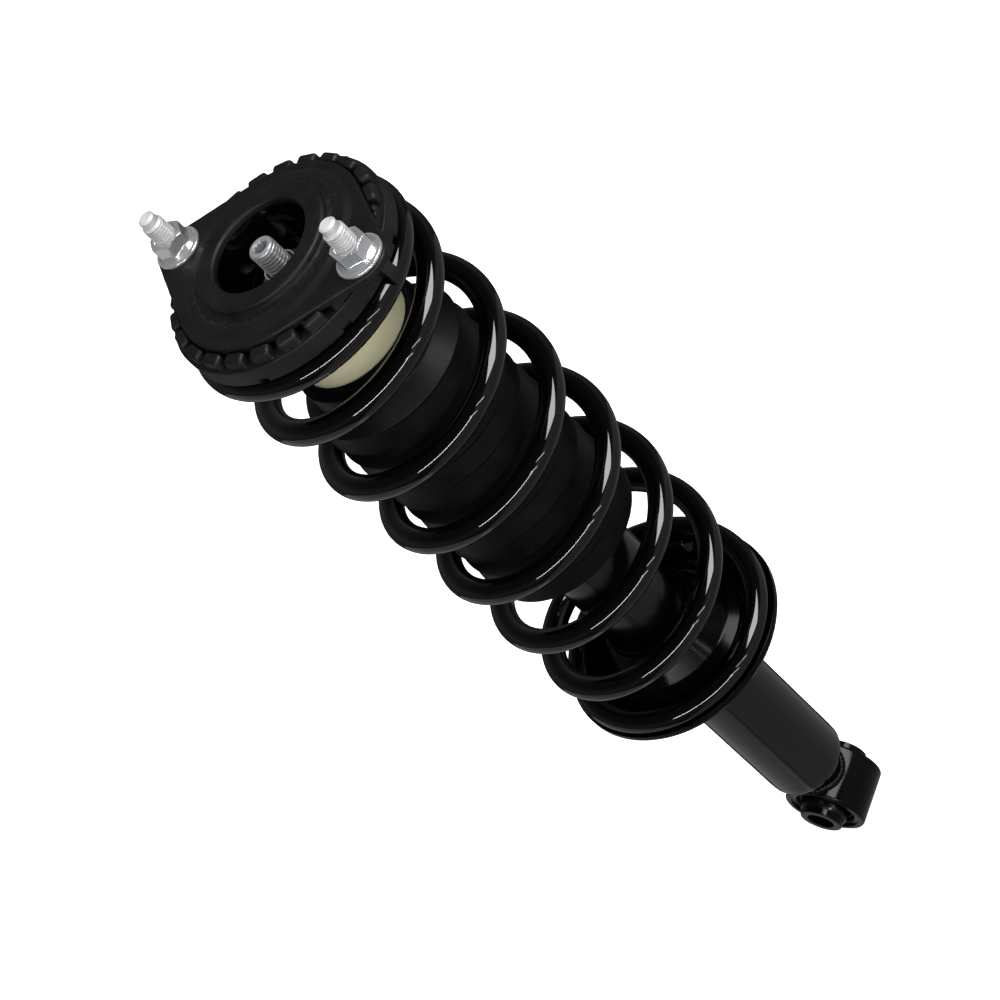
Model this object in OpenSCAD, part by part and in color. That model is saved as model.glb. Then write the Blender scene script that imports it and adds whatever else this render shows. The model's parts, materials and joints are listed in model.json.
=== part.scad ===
// Rear coil-over strut assembly: twin-tube damper, coil spring, two-stud top mount
// and a rubber-bushed lower eye. Origin at the centre of the lower eye's bore,
// +Z up the damper's axis to the top mount, X along the eye's bore.
// It is drawn at full droop, with the rebound stop on the rod guide.

/* [Overall] */
// Height of the top plate's seating face above the centre of the lower eye
mount_height = 484.5; // [420:0.5:600]
// Free travel between the bump cap and the bump stop at full droop
free_travel = 80; // [40:1:100]
// Running clearance on each side of a piece that slides or turns in another
running_gap = 0.05; // [0.02:0.01:0.1]

/* [Lower eye] */
// Outside diameter of the eye ring
eye_d = 43; // [36:0.5:54]
// Width of the eye ring along its bore
eye_width = 30; // [24:0.5:38]
// Wall of the eye ring
eye_wall = 3.5; // [2.5:0.1:5]
// Wall of the steel shell pressed into the eye
shell_wall = 1.2; // [0.8:0.1:1.6]
// Outside diameter of the bush's inner sleeve
sleeve_d = 22.4; // [19:0.1:25]
// Bore of the bush's inner sleeve, for the fixing bolt
sleeve_bore_d = 14.2; // [10:0.1:16]
// Length of the bush's inner sleeve
sleeve_length = 42; // [38:0.5:52]
// Height of the tube's lower rim above the centre of the eye
eye_to_tube = 32; // [29:0.5:40]

/* [Damper] */
// Outside diameter of the reserve tube
tube_d = 43.1; // [40:0.1:54]
// Wall of the reserve tube
tube_wall = 1.8; // [1.2:0.1:2.4]
// Bore of the pressure tube, in which the piston slides
bore_d = 27; // [25:0.5:32]
// Wall of the pressure tube
inner_wall = 1.25; // [1:0.05:1.6]
// Diameter of the piston rod
rod_d = 14; // [13:0.1:17]
// Thread diameter at the rod's upper end
rod_thread_d = 12; // [10:1:12]
// Thread diameter at the rod's lower end, for the piston
piston_thread_d = 10; // [8:1:10]
// Wall of the bump cap
cap_wall = 1.5; // [1:0.1:2]
// Depth of the bump cap's skirt
cap_depth = 25; // [15:1:35]

/* [Spring] */
// Outside diameter of the coil spring
spring_d = 111.8; // [108:0.1:136]
// Diameter of the spring wire
wire_d = 11.8; // [9.8:0.1:14.2]
// Number of turns, closed ends included
coil_turns = 8; // [7:0.25:9]
// Rise of each closed end, in mm a turn
end_pitch = 2; // [1:0.1:4]
// Length of each closed end, in turns
end_turns = 0.62; // [0.5:0.01:0.9]
// Length over which the pitch opens, in turns
lead_turns = 0.29; // [0.2:0.01:0.5]
// Direction of the wire's lower end, in degrees from +X
coil_start = 10; // [0:1:359]

/* [Spring seats] */
// Height of the lower seat's groove above the centre of the eye
seat_height = 161.4; // [150:0.5:200]
// How far the lower seat's rim stands outside the spring
seat_margin = 1.1; // [0.8:0.1:4]
// Sheet thickness of both spring seats
seat_sheet = 3; // [2:0.1:4]
// Rise of the lower seat from its groove to the top of its hub
seat_rise = 27.2; // [20:0.1:32]
// How far the upper insulator's band stands inside the spring's outside
band_inset = 1.9; // [0:0.1:3]
// Height of the upper insulator's band
band_height = 10.7; // [8:0.1:14]
// Number of blocks round the upper insulator
block_count = 24; // [16:1:30]
// Direction of the first block, in degrees from +X
block_start = 7.5; // [0:0.5:30]
// Width of one block
block_width = 8; // [5:0.1:9]
// Height of the blocks above the band
block_height = 3; // [2:0.1:6]

/* [Dust boot and bump stop] */
// Height of one fold of the dust boot
fold_height = 11.55; // [8:0.05:15]
// Depth of the folds
fold_depth = 3.6; // [2:0.1:5]
// Wall of the dust boot
boot_wall = 1.8; // [1:0.1:2.5]
// Space between the boot's folds and the spring
boot_clearance = 4; // [3:0.1:6]
// Smallest gap between the boot's open end and the lower seat's hub
boot_gap = 72; // [40:1:90]
// Outside diameter of the bump stop's head
stop_d = 54.6; // [50:0.1:58]
// Length of the bump stop
stop_length = 77; // [60:1:90]

/* [Top mount] */
// Diameter of the round part of the mounting plate
plate_d = 93.6; // [88:0.1:96]
// Sheet thickness of the mounting plate
plate_sheet = 3.5; // [2.5:0.1:4]
// Diameter of the circle through the two studs
stud_circle_d = 110; // [108:0.1:134]
// Direction of the first stud, in degrees from +X
stud_angle = 86; // [0:1:359]
// Radius of the lug round each stud
lug_r = 11.7; // [11.2:0.1:16]
// Thread diameter of the studs
stud_d = 10; // [8:1:12]
// Height of the stud tips above the seating face
stud_reach = 23; // [20:0.5:30]
// Width across flats of the stud nuts
nut_flats = 15; // [13:0.1:17]
// Flange diameter of the stud nuts
nut_flange_d = 21.8; // [19:0.1:24]
// Height of the stud nuts
nut_height = 10; // [8:0.1:12]
// Inside diameter of the recess round the rod's end
recess_d = 46.5; // [40:0.1:50]
// Outside diameter of the rubber ridge round the recess
ridge_d = 65; // [60:0.1:66]
// Height of the rubber ridge above the seating face
ridge_height = 6.3; // [3:0.1:8]
// Depth of the inner cup's underside below the seating face
cup_depth = 28.5; // [24:0.1:34]

/* [Hidden] */
$fn = 96;
through = 1; // extra length of a cutting tool past the face that it cuts
edge = 0.6; // small chamfer on turned steel pieces

// Lower eye and tube radii
eye_r = eye_d / 2;
eye_bore_r = eye_r - eye_wall;
shell_r = eye_bore_r - shell_wall;
sleeve_r = sleeve_d / 2;
tube_r = tube_d / 2;
tube_inner_r = tube_r - tube_wall;
bore_r = bore_d / 2;
inner_tube_r = bore_r + inner_wall;
rod_r = rod_d / 2;
rod_thread_r = rod_thread_d / 2;
piston_thread_r = piston_thread_d / 2;
cap_r = tube_r + cap_wall;

// Tube base: a dished closure in the tube's lower end with a neck down to the eye
base_sheet = 4;
base_top = eye_to_tube + base_sheet;
neck_r = 13;
neck_top = eye_r + 4;
base_lip = 0.9; // how far the closure's lip lies inside the tube's outside
bead_leg = 4.2; // length of the weld bead's legs

// Top mount levels
plate_bottom = mount_height - plate_sheet;
step_rise = 2; // height of the pressed step in the plate
step_slope = 1.35; // run of the step's flank for each mm of rise
step_r = plate_d / 2 - 4.6;
stud_ring_r = stud_circle_d / 2;
housing_sheet = 3;
housing_r = ridge_d / 2 + 1.5; // bore of the plate's downturned wall
housing_outer_r = housing_r + housing_sheet;
cup_bottom = mount_height - cup_depth;
cup_floor = 3; // thickness of the cup's floor
cup_wall = 1.8;
cup_r = recess_d / 2 - 0.3; // inside of the cup's wall
cup_top = mount_height + 2.5;
cup_bend = 9; // radius of the bowl between floor and wall
housing_bottom = cup_bottom + 6;
rubber_bottom = housing_bottom + 2;

// Nut stack on the rod's upper end, and the bump stop below the cup
washer_t = 2.5;
nut_bottom = cup_bottom + cup_floor + washer_t;
rod_nut_flats = 19;
rod_nut_hex = 11;
rod_nut_collar_r = 7.9;
rod_nut_height = 14.5;
rod_tip = mount_height + 4.9;
stop_cup_sheet = 1.5;
stop_cup_depth = 9;
rod_shoulder = cup_bottom - washer_t - stop_cup_sheet;
stop_r = stop_d / 2;
stop_bottom = rod_shoulder - stop_length;
thread_hole = 0.15; // clearance round a thread in a plain hole

// Damper levels, counted down from the top of the bump cap
cap_top = stop_bottom - free_travel;
tube_top = cap_top - cap_wall;
tube_lip = 2;
seal_top = tube_top - tube_lip;
seal_height = 5;
guide_top = seal_top - seal_height;
guide_flange = 8;
guide_step = guide_top - guide_flange;
guide_bottom = guide_step - 10.5;
guide_bush_r = rod_r + 1.2;
rebound_gap = 0.1;
rebound_top = guide_bottom - rebound_gap;
rebound_height = 10;
retainer_height = 4;
retainer_bottom = rebound_top - rebound_height - retainer_height;
piston_drop = 37; // from the rebound retainer to the rod's lower shoulder
rod_end_shoulder = retainer_bottom - piston_drop;
shim_t = 0.5;
shim_count = 4;
shim_stack = shim_t * shim_count;
piston_top = rod_end_shoulder - shim_stack;
piston_height = 14;
piston_bottom = piston_top - piston_height;
piston_nut_height = 8;
piston_nut_flats = 16;
piston_nut_bottom = piston_bottom - shim_stack - piston_nut_height;
rod_bottom = piston_nut_bottom - 2;
piston_side = 0.5; // from the piston's side to the bore, filled by the band
base_valve_flange = base_top + 9;
base_valve_top = base_valve_flange + 6;

// Spring and seats
spring_r = spring_d / 2;
wire_r = wire_d / 2;
coil_r = spring_r - wire_r;
spring_inner_r = spring_r - wire_d;
coil_bottom = seat_height + wire_r;
pan_drop = 7; // from the plate's underside to the centre of the upper seat's sheet
band_r = spring_r - band_inset;
band_top = plate_bottom - 2;
coil_ceiling = band_top - band_height;
coil_top = coil_ceiling - wire_r - 0.1;
pan_top = band_top - 1.5;
pan_bottom = pan_top - seat_sheet;
pan_r = band_r - 4;
pan_wall_bottom = coil_ceiling - 10;
pan_wall_r = housing_outer_r + 2.5;
lip_depth = 12; // how far the insulator's lip reaches down inside the spring
soft_gap = 0.3; // space between a soft piece and its neighbour
seat_rim_r = spring_r + seat_margin;
seat_inner_r = spring_inner_r - 0.9;
hub_wall = 2.6;
hub_top = seat_height + seat_rise;

// Dust boot
boot_r = spring_inner_r - boot_clearance;
boot_neck_r = stop_r + 5.1;
boot_neck_top = rod_shoulder - 29;
boot_neck_drop = 10; // length of the boot's plain neck
boot_shoulder = boot_neck_top - 18.5;
fold_count = floor((boot_shoulder - hub_top - boot_gap) / fold_height);
boot_bottom = boot_shoulder - fold_count * fold_height;
stop_groove_r = stop_r - 3;
boot_lip = 3; // thickness of the lip that snaps into the bump stop's groove

// A ring about X with chamfered ends
module eye_ring(inner, outer, length, chamfer) {
    half = length / 2;
    rotate([0, 90, 0])
        rotate_extrude()
            polygon([
                [inner, -half], [outer - chamfer, -half], [outer, chamfer - half],
                [outer, half - chamfer], [outer - chamfer, half], [inner, half]
            ]);
}

// A ring about Z from z1 up to z2
module ring(inner, outer, z1, z2) {
    translate([0, 0, z1])
        difference() {
            cylinder(r = outer, h = z2 - z1);
            translate([0, 0, -through])
                cylinder(r = inner, h = z2 - z1 + 2 * through);
        }
}

module at_studs() {
    for (turn = [0, 180])
        rotate([0, 0, stud_angle + turn])
            translate([stud_ring_r, 0, 0])
                children();
}

// Plan of the plate: a disc with two lugs, each joined by straight flanks that
// cross the circles a hair inside their tangent. Grow moves the outline outwards.
module plate_outline(grow) {
    big = plate_d / 2 + grow;
    small = lug_r + grow;
    inside = 0.06;
    tangent = acos((big - small) / stud_ring_r);
    for (turn = [0, 180])
        rotate(stud_angle + turn) {
            translate([stud_ring_r, 0])
                circle(r = small);
            polygon([
                (big - inside) * [cos(tangent), sin(tangent)],
                (big - inside) * [cos(tangent), -sin(tangent)],
                [stud_ring_r, 0] + (small - inside) * [cos(tangent), -sin(tangent)],
                [stud_ring_r, 0] + (small - inside) * [cos(tangent), sin(tangent)]
            ]);
        }
    circle(r = big);
}

module mount_plate() {
    color("#1c1c1e") {
        difference() {
            translate([0, 0, plate_bottom])
                linear_extrude(plate_sheet)
                    plate_outline(0);
            translate([0, 0, plate_bottom - through])
                cylinder(r = housing_r + 1, h = plate_sheet + 2 * through);
            at_studs()
                translate([0, 0, plate_bottom - through])
                    cylinder(d = stud_d + 0.8, h = plate_sheet + 2 * through);
        }
        rotate_extrude()
            polygon([
                [housing_r, housing_bottom], [housing_outer_r, housing_bottom],
                [housing_outer_r, mount_height - 1], [step_r + step_slope, mount_height - 1],
                [step_r - step_slope * step_rise, mount_height + step_rise],
                [housing_r, mount_height + step_rise]
            ]);
    }
}

// Serrated-neck studs pressed in from below. The thread is drawn at its full
// diameter where it is free, and at its pitch diameter inside the nut.
module mount_studs() {
    head_r = stud_d / 2 + 2.8;
    head_t = 3;
    dog_r = stud_d / 2 - 1;
    dog_height = 4;
    color("#c9ccd0")
        at_studs()
            rotate_extrude()
                polygon([
                    [0, plate_bottom - head_t], [head_r, plate_bottom - head_t],
                    [head_r, plate_bottom], [stud_d / 2 + 0.4, plate_bottom],
                    [stud_d / 2 + 0.4, mount_height],
                    [stud_d / 2 - 0.5, mount_height],
                    [stud_d / 2 - 0.5, mount_height + nut_height],
                    [stud_d / 2, mount_height + nut_height],
                    [stud_d / 2, mount_height + stud_reach - dog_height - 1],
                    [dog_r, mount_height + stud_reach - dog_height],
                    [dog_r, mount_height + stud_reach - 1],
                    [dog_r - 1, mount_height + stud_reach],
                    [0, mount_height + stud_reach]
                ]);
}

module mount_nuts() {
    flange_t = 1.6;
    cone_t = 2.4;
    corner_r = nut_flats / 2 / cos(30);
    color("#d5d8dc")
        at_studs()
            translate([0, 0, mount_height])
                difference() {
                    union() {
                        cylinder(d = nut_flange_d, h = flange_t);
                        translate([0, 0, flange_t])
                            cylinder(r1 = nut_flange_d / 2, r2 = nut_flats / 2, h = cone_t);
                        intersection() {
                            translate([0, 0, flange_t])
                                cylinder(r = corner_r, h = nut_height - flange_t, $fn = 6);
                            cylinder(r1 = corner_r + nut_height - 1, r2 = corner_r - 1,
                                     h = nut_height);
                        }
                    }
                    translate([0, 0, -through])
                        cylinder(r = stud_d / 2 - 0.48, h = nut_height + 2 * through);
                }
}

module mount_rubber() {
    ridge_top = mount_height + ridge_height;
    ridge_r = ridge_d / 2;
    color("#202022")
        rotate_extrude()
            polygon([
                [cup_r + cup_wall, rubber_bottom + 6], [cup_r + cup_wall + 1, rubber_bottom + 3],
                [housing_r - 4, rubber_bottom + 3], [housing_r, rubber_bottom],
                [housing_r, mount_height + step_rise], [ridge_r, mount_height + step_rise],
                [ridge_r, ridge_top - 1.2], [ridge_r - 1.2, ridge_top],
                [recess_d / 2 + 1.2, ridge_top], [recess_d / 2, ridge_top - 1.2],
                [recess_d / 2, cup_top], [cup_r + cup_wall, cup_top]
            ]);
}

// Bowl-shaped inner metal, clamped between the rod's shoulder and its nut
module mount_cup() {
    bend_inner = cup_bend;
    bend_outer = cup_bend + cup_wall;
    bend_r = cup_r - cup_bend;
    bend_z = cup_bottom + cup_floor + cup_bend;
    color("#0d0d0f")
        rotate_extrude()
            difference() {
                union() {
                    translate([rod_thread_r + thread_hole, cup_bottom])
                        square([bend_r - rod_thread_r - thread_hole, cup_floor]);
                    translate([cup_r, bend_z])
                        square([cup_wall, cup_top - bend_z]);
                    intersection() {
                        translate([bend_r, bend_z])
                            circle(r = bend_outer);
                        translate([bend_r, cup_bottom + cup_floor - cup_wall])
                            square([bend_outer, bend_outer]);
                    }
                }
                translate([bend_r, bend_z])
                    circle(r = bend_inner);
                translate([bend_r - bend_inner, bend_z])
                    square([2 * bend_inner, bend_inner]);
            }
}

// Pressed pan welded round the plate's downturned wall
module upper_spring_seat() {
    color("#161618") {
        ring(housing_outer_r, pan_r, pan_bottom, pan_top);
        ring(housing_outer_r, pan_wall_r, pan_wall_bottom, pan_bottom);
    }
}

// Rubber ring that wraps the pan's edge, with radial blocks on top
module upper_insulator() {
    flap_r = plate_d / 2 + 0.5;
    lip_inner_r = pan_wall_r + soft_gap;
    lip_outer_r = spring_inner_r - 0.5;
    notch_count = 8;
    notch_start = 16;
    notch_w = 4.2;
    notch_h = 2.4;
    head_clear = stud_d / 2 + 3.4;
    color("#242426")
        difference() {
            union() {
                rotate_extrude()
                    polygon([
                        [lip_inner_r, pan_bottom], [lip_inner_r, coil_ceiling - lip_depth],
                        [lip_outer_r - 1, coil_ceiling - lip_depth],
                        [lip_outer_r, coil_ceiling - lip_depth + 2],
                        [lip_outer_r, coil_ceiling], [band_r - 0.8, coil_ceiling],
                        [band_r, coil_ceiling + 0.8], [band_r, band_top - 0.8],
                        [band_r - 0.8, band_top], [flap_r, band_top], [flap_r, pan_top],
                        [pan_r, pan_top], [pan_r, pan_bottom]
                    ]);
                for (n = [0 : block_count - 1])
                    rotate([0, 0, block_start + n * 360 / block_count])
                        insulator_block(flap_r);
                insulator_tab();
            }
            for (n = [0 : notch_count - 1])
                rotate([0, 0, notch_start + n * 360 / notch_count])
                    translate([band_r - 1.5, -notch_w / 2, coil_ceiling - through])
                        cube([3, notch_w, notch_h + through]);
            translate([0, 0, plate_bottom - 0.4])
                linear_extrude(block_height + 2)
                    plate_outline(0.4);
            at_studs()
                translate([0, 0, pan_top])
                    cylinder(r = head_clear, h = block_height + 5);
        }
}

// One block, lying radially across the band with a rounded outer top edge
module insulator_block(inner) {
    outer = band_r - 1.5;
    top = band_top + block_height;
    translate([0, block_width / 2, 0])
        rotate([90, 0, 0])
            linear_extrude(block_width)
                polygon([
                    [inner, band_top - 1], [outer, band_top - 1], [outer, top - 1.4],
                    [outer - 0.5, top - 0.4], [outer - 1.4, top], [inner + 0.8, top],
                    [inner, top - 0.8]
                ]);
}

// Marker tab that hangs over the outside of the top coil, near the second stud
module insulator_tab() {
    tab_width = 5.8;
    tab_drop = 5.5;
    tab_in = spring_r + 0.3;
    tab_out = spring_r + 1.5;
    rotate([0, 0, stud_angle + 184.5])
        translate([0, tab_width / 2, 0])
            rotate([90, 0, 0])
                linear_extrude(tab_width)
                    polygon([
                        [band_r - 1, coil_ceiling + 1.6], [tab_in, coil_ceiling - 1],
                        [tab_in, coil_ceiling - tab_drop], [tab_out, coil_ceiling - tab_drop],
                        [tab_out, coil_ceiling - 0.4], [band_r + 1, band_top - 2],
                        [band_r - 1, band_top - 1.6]
                    ]);
}

// Prevailing-torque nut: a hexagon with a round collar on top
module rod_nut() {
    color("#c3c6ca")
        translate([0, 0, nut_bottom])
            difference() {
                union() {
                    cylinder(r = rod_nut_flats / 2 / cos(30), h = rod_nut_hex, $fn = 6);
                    cylinder(r = rod_nut_collar_r, h = rod_nut_height);
                }
                translate([0, 0, -through])
                    cylinder(r = rod_thread_r, h = rod_nut_height + 2 * through);
            }
}

// One washer above the cup's floor and one below it
module rod_washers() {
    color("#8d9094") {
        ring(rod_thread_r + thread_hole, 12.5, cup_bottom + cup_floor, nut_bottom);
        ring(rod_thread_r + thread_hole, 15, cup_bottom - washer_t, cup_bottom);
    }
}

module bump_stop_cup() {
    skirt_r = stop_r + soft_gap;
    color("#161618") {
        ring(rod_thread_r + thread_hole, skirt_r + stop_cup_sheet,
             rod_shoulder, rod_shoulder + stop_cup_sheet);
        ring(skirt_r, skirt_r + stop_cup_sheet, rod_shoulder - stop_cup_depth, rod_shoulder);
    }
}

// Foamed urethane: a wide head, a groove for the boot and a waisted nose
module bump_stop() {
    groove_top = boot_neck_top;
    groove_bottom = boot_neck_top - boot_lip;
    nose_r = stop_r - 6.5;
    waist_r = nose_r - 3.5;
    stop_bore_r = rod_r + 1.2;
    color("#e3ddb2")
        rotate_extrude()
            polygon([
                [stop_bore_r, stop_bottom + 2], [stop_bore_r + 5, stop_bottom],
                [nose_r - 4, stop_bottom + 2], [nose_r - 1, stop_bottom + 8],
                [nose_r, stop_bottom + 14], [nose_r - 1, stop_bottom + 18],
                [waist_r, stop_bottom + 22], [nose_r - 1, stop_bottom + 26],
                [nose_r, stop_bottom + 31], [nose_r, groove_bottom - 6],
                [stop_groove_r + 1.5, groove_bottom - 4], [stop_groove_r + 1.5, groove_bottom],
                [stop_groove_r, groove_bottom], [stop_groove_r, groove_top],
                [stop_r - 0.8, groove_top], [stop_r, groove_top + 0.8],
                [stop_r, rod_shoulder], [stop_bore_r, rod_shoulder]
            ]);
}

// Outline of the boot's folds at a distance inside their crests, from the top down
function fold_points(inset) = [
    for (n = [0 : fold_count - 1])
        let (crest = boot_shoulder - n * fold_height)
        each [
            [boot_r - inset, crest],
            [boot_r - inset - fold_depth, crest - 0.3 * fold_height]
        ]
];

function reversed(points) = [for (n = [len(points) - 1 : -1 : 0]) points[n]];

// Thermoplastic rubber bellows that hangs on the bump stop
module dust_boot() {
    lip_inner_r = stop_groove_r + 0.1;
    lip_bottom = boot_neck_top - boot_lip + 0.1;
    outside = concat(
        [[lip_inner_r, boot_neck_top - 0.1], [boot_neck_r, boot_neck_top - 0.1],
         [boot_neck_r, boot_neck_top - boot_neck_drop]],
        fold_points(0),
        [[boot_r, boot_bottom]]);
    inside = concat(
        [[lip_inner_r, lip_bottom], [boot_neck_r - boot_wall, lip_bottom],
         [boot_neck_r - boot_wall, boot_neck_top - boot_neck_drop - 1]],
        fold_points(boot_wall),
        [[boot_r - boot_wall, boot_bottom]]);
    color("#1a1a1b")
        rotate_extrude()
            polygon(concat(outside, reversed(inside)));
}

// Rise of the lead-in: 0 along the closed end, then a square law, then a straight line
function opened(turns) =
    turns < end_turns ? 0 :
    turns < end_turns + lead_turns ? (turns - end_turns) ^ 2 / (2 * lead_turns) :
    turns - end_turns - lead_turns / 2;

open_turns = 2 * opened(coil_turns) - coil_turns;
open_pitch = (coil_top - coil_bottom - end_pitch * coil_turns) / open_turns + end_pitch;

// Height of the wire's centre, after this many turns from its lower end
function coil_z(turns) = coil_bottom + end_pitch * turns
    + (open_pitch - end_pitch)
      * (opened(turns) + opened(coil_turns) - opened(coil_turns - turns) - turns);

// The wire: rings of points swept along the helix, closed by flat ends
module coil_spring() {
    rings_a_turn = 32;
    sides = 12;
    rings = floor(coil_turns * rings_a_turn);
    points = [
        for (i = [0 : rings])
            let (turns = i * coil_turns / rings, around = coil_start + 360 * turns)
            for (j = [0 : sides - 1])
                let (reach = coil_r + wire_r * cos(360 * j / sides))
                [reach * cos(around), reach * sin(around),
                 coil_z(turns) + wire_r * sin(360 * j / sides)]
    ];
    sleeve = [
        for (i = [0 : rings - 1])
            for (j = [0 : sides - 1])
                let (next = (j + 1) % sides, a = i * sides, b = (i + 1) * sides)
                [a + j, b + j, b + next, a + next]
    ];
    ends = [
        [for (j = [0 : sides - 1]) j],
        [for (j = [sides - 1 : -1 : 0]) rings * sides + j]
    ];
    color("#0b0b0c")
        polyhedron(points, concat(sleeve, ends), convexity = 10);
}

// Ground and chromed rod with a thread at each end and a hexagon socket on top
module piston_rod() {
    socket_flats = 6;
    socket_depth = 8;
    color("#9a9da1")
        difference() {
            rotate_extrude()
                polygon([
                    [0, rod_bottom], [piston_thread_r - edge, rod_bottom],
                    [piston_thread_r, rod_bottom + edge], [piston_thread_r, rod_end_shoulder],
                    [rod_r, rod_end_shoulder], [rod_r, rod_shoulder],
                    [rod_thread_r, rod_shoulder], [rod_thread_r, rod_tip - edge],
                    [rod_thread_r - edge, rod_tip], [0, rod_tip]
                ]);
            translate([0, 0, rod_tip - socket_depth])
                cylinder(r = socket_flats / 2 / cos(30), h = socket_depth + through, $fn = 6);
        }
}

module rebound_stop() {
    color("#2c2c2e")
        ring(rod_r, bore_r - 1.5, rebound_top - rebound_height, rebound_top);
}

module rebound_retainer() {
    color("#7d8084")
        ring(rod_r, bore_r - 3, retainer_bottom, retainer_bottom + retainer_height);
}

module piston() {
    passages = 6;
    passage_d = 3;
    color("#6f7276")
        difference() {
            ring(piston_thread_r, bore_r - piston_side, piston_bottom, piston_top);
            for (n = [0 : passages - 1])
                rotate([0, 0, n * 360 / passages])
                    translate([(piston_thread_r + bore_r) / 2, 0, piston_bottom - through])
                        cylinder(d = passage_d, h = piston_height + 2 * through);
        }
}

module piston_band() {
    side = 3;
    color("#3b4a3f")
        ring(bore_r - piston_side, bore_r - running_gap,
             piston_bottom + side, piston_top - side);
}

module valve_shims() {
    color("#a9acb0") {
        for (n = [0 : shim_count - 1]) {
            ring(piston_thread_r, bore_r - 3 - n, piston_top + n * shim_t,
                 piston_top + (n + 1) * shim_t);
            ring(piston_thread_r, bore_r - 3 - n, piston_bottom - (n + 1) * shim_t,
                 piston_bottom - n * shim_t);
        }
    }
}

module piston_nut() {
    color("#a0a3a7")
        translate([0, 0, piston_nut_bottom])
            difference() {
                cylinder(r = piston_nut_flats / 2 / cos(30), h = piston_nut_height, $fn = 6);
                translate([0, 0, -through])
                    cylinder(r = piston_thread_r, h = piston_nut_height + 2 * through);
            }
}

// Pressed cap over the tube's upper end, which meets the bump stop
module bump_cap() {
    color("#141416") {
        ring(rod_r + 2, cap_r, tube_top, cap_top);
        ring(tube_r, cap_r, cap_top - cap_depth, tube_top);
    }
}

// Reserve tube, with its upper end rolled in over the seal
module outer_tube() {
    corner = 1.2;
    color("#121214")
        rotate_extrude()
            polygon([
                [tube_inner_r, eye_to_tube], [tube_r - corner, eye_to_tube],
                [tube_r - 0.35, eye_to_tube + 0.35], [tube_r, eye_to_tube + corner],
                [tube_r, tube_top], [rod_r + 5, tube_top], [rod_r + 5, seal_top],
                [tube_inner_r, seal_top]
            ]);
}

module inner_tube() {
    color("#8f9296")
        ring(bore_r, inner_tube_r, base_valve_flange, guide_step);
}

module rod_guide() {
    color("#6a6d71") {
        ring(guide_bush_r, tube_inner_r, guide_step, guide_top);
        ring(guide_bush_r, bore_r, guide_bottom, guide_step);
    }
}

module guide_bush() {
    color("#b08d4f")
        ring(rod_r + running_gap, guide_bush_r, guide_bottom + 2, guide_top - 2);
}

module rod_seal() {
    color("#2a2a2c")
        ring(rod_r + running_gap, tube_inner_r, guide_top, seal_top);
}

// Foot valve that closes the pressure tube and stands on the tube's base
module base_valve() {
    passages = 6;
    slots = 4;
    foot_height = 3;
    color("#7b7e82")
        difference() {
            union() {
                ring(inner_tube_r - 4, inner_tube_r + 0.8, base_top, base_valve_flange);
                translate([0, 0, base_top + foot_height])
                    cylinder(r = inner_tube_r - 3,
                             h = base_valve_flange - base_top - foot_height);
                translate([0, 0, base_valve_flange])
                    cylinder(r = bore_r, h = base_valve_top - base_valve_flange);
            }
            for (n = [0 : passages - 1])
                rotate([0, 0, n * 360 / passages])
                    translate([bore_r * 0.55, 0, base_top - through])
                        cylinder(d = 3, h = base_valve_top - base_top + 2 * through);
            for (n = [0 : slots - 1])
                rotate([0, 0, n * 360 / slots])
                    translate([0, -2.5, base_top - through])
                        cube([inner_tube_r + 2, 5, foot_height + through]);
        }
}

// Dished closure of the tube with a neck that is welded to the eye
module tube_base() {
    lip_r = tube_r - base_lip;
    color("#131315")
        difference() {
            rotate_extrude()
                polygon([
                    [0, base_top], [tube_inner_r, base_top], [tube_inner_r, eye_to_tube],
                    [lip_r, eye_to_tube], [lip_r - 0.6, eye_to_tube - 2],
                    [lip_r - 3, neck_top + 1.4], [neck_r + 2.5, neck_top], [neck_r, neck_top - 1.5],
                    [neck_r, 0], [0, 0]
                ]);
            rotate([0, 90, 0])
                cylinder(r = eye_r, h = 2 * tube_d, center = true);
        }
}

module lower_eye() {
    color("#121214")
        eye_ring(eye_bore_r, eye_r, eye_width, 0.9);
}

// Fillet weld where the neck meets the eye
module eye_weld() {
    color("#1b1b1d")
        difference() {
            rotate_extrude()
                polygon([
                    [neck_r, neck_top - 1.5], [neck_r + 1.3, neck_top - 2.6],
                    [neck_r + bead_leg - 1.2, eye_r - 2.4], [neck_r + bead_leg, eye_r - 5],
                    [neck_r + bead_leg, eye_r / 2], [neck_r, eye_r / 2]
                ]);
            rotate([0, 90, 0])
                cylinder(r = eye_r, h = 2 * tube_d, center = true);
        }
}

module bush_shell() {
    color("#2a2a2d")
        eye_ring(shell_r, eye_bore_r, eye_width - 2, 0.3);
}

// Bonded rubber with a moulded groove in each end face
module bush_rubber() {
    inner = sleeve_r + running_gap;
    foot = eye_width / 2 - 1.5;
    tip = sleeve_length / 2 - 3.5;
    groove_r = (inner + shell_r) / 2 + 0.6;
    color("#1e1e20")
        rotate([0, 90, 0])
            rotate_extrude()
                polygon([
                    [inner, -tip], [inner + 0.9, -tip], [inner + 1.4, 1 - foot],
                    [groove_r, 3.5 - foot], [shell_r - 1.2, -foot], [shell_r, -foot],
                    [shell_r, foot], [shell_r - 1.2, foot], [groove_r, foot - 3.5],
                    [inner + 1.4, foot - 1], [inner + 0.9, tip], [inner, tip]
                ]);
}

module bush_sleeve() {
    color("#1d1d20")
        eye_ring(sleeve_bore_d / 2, sleeve_r, sleeve_length, edge);
}

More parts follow.
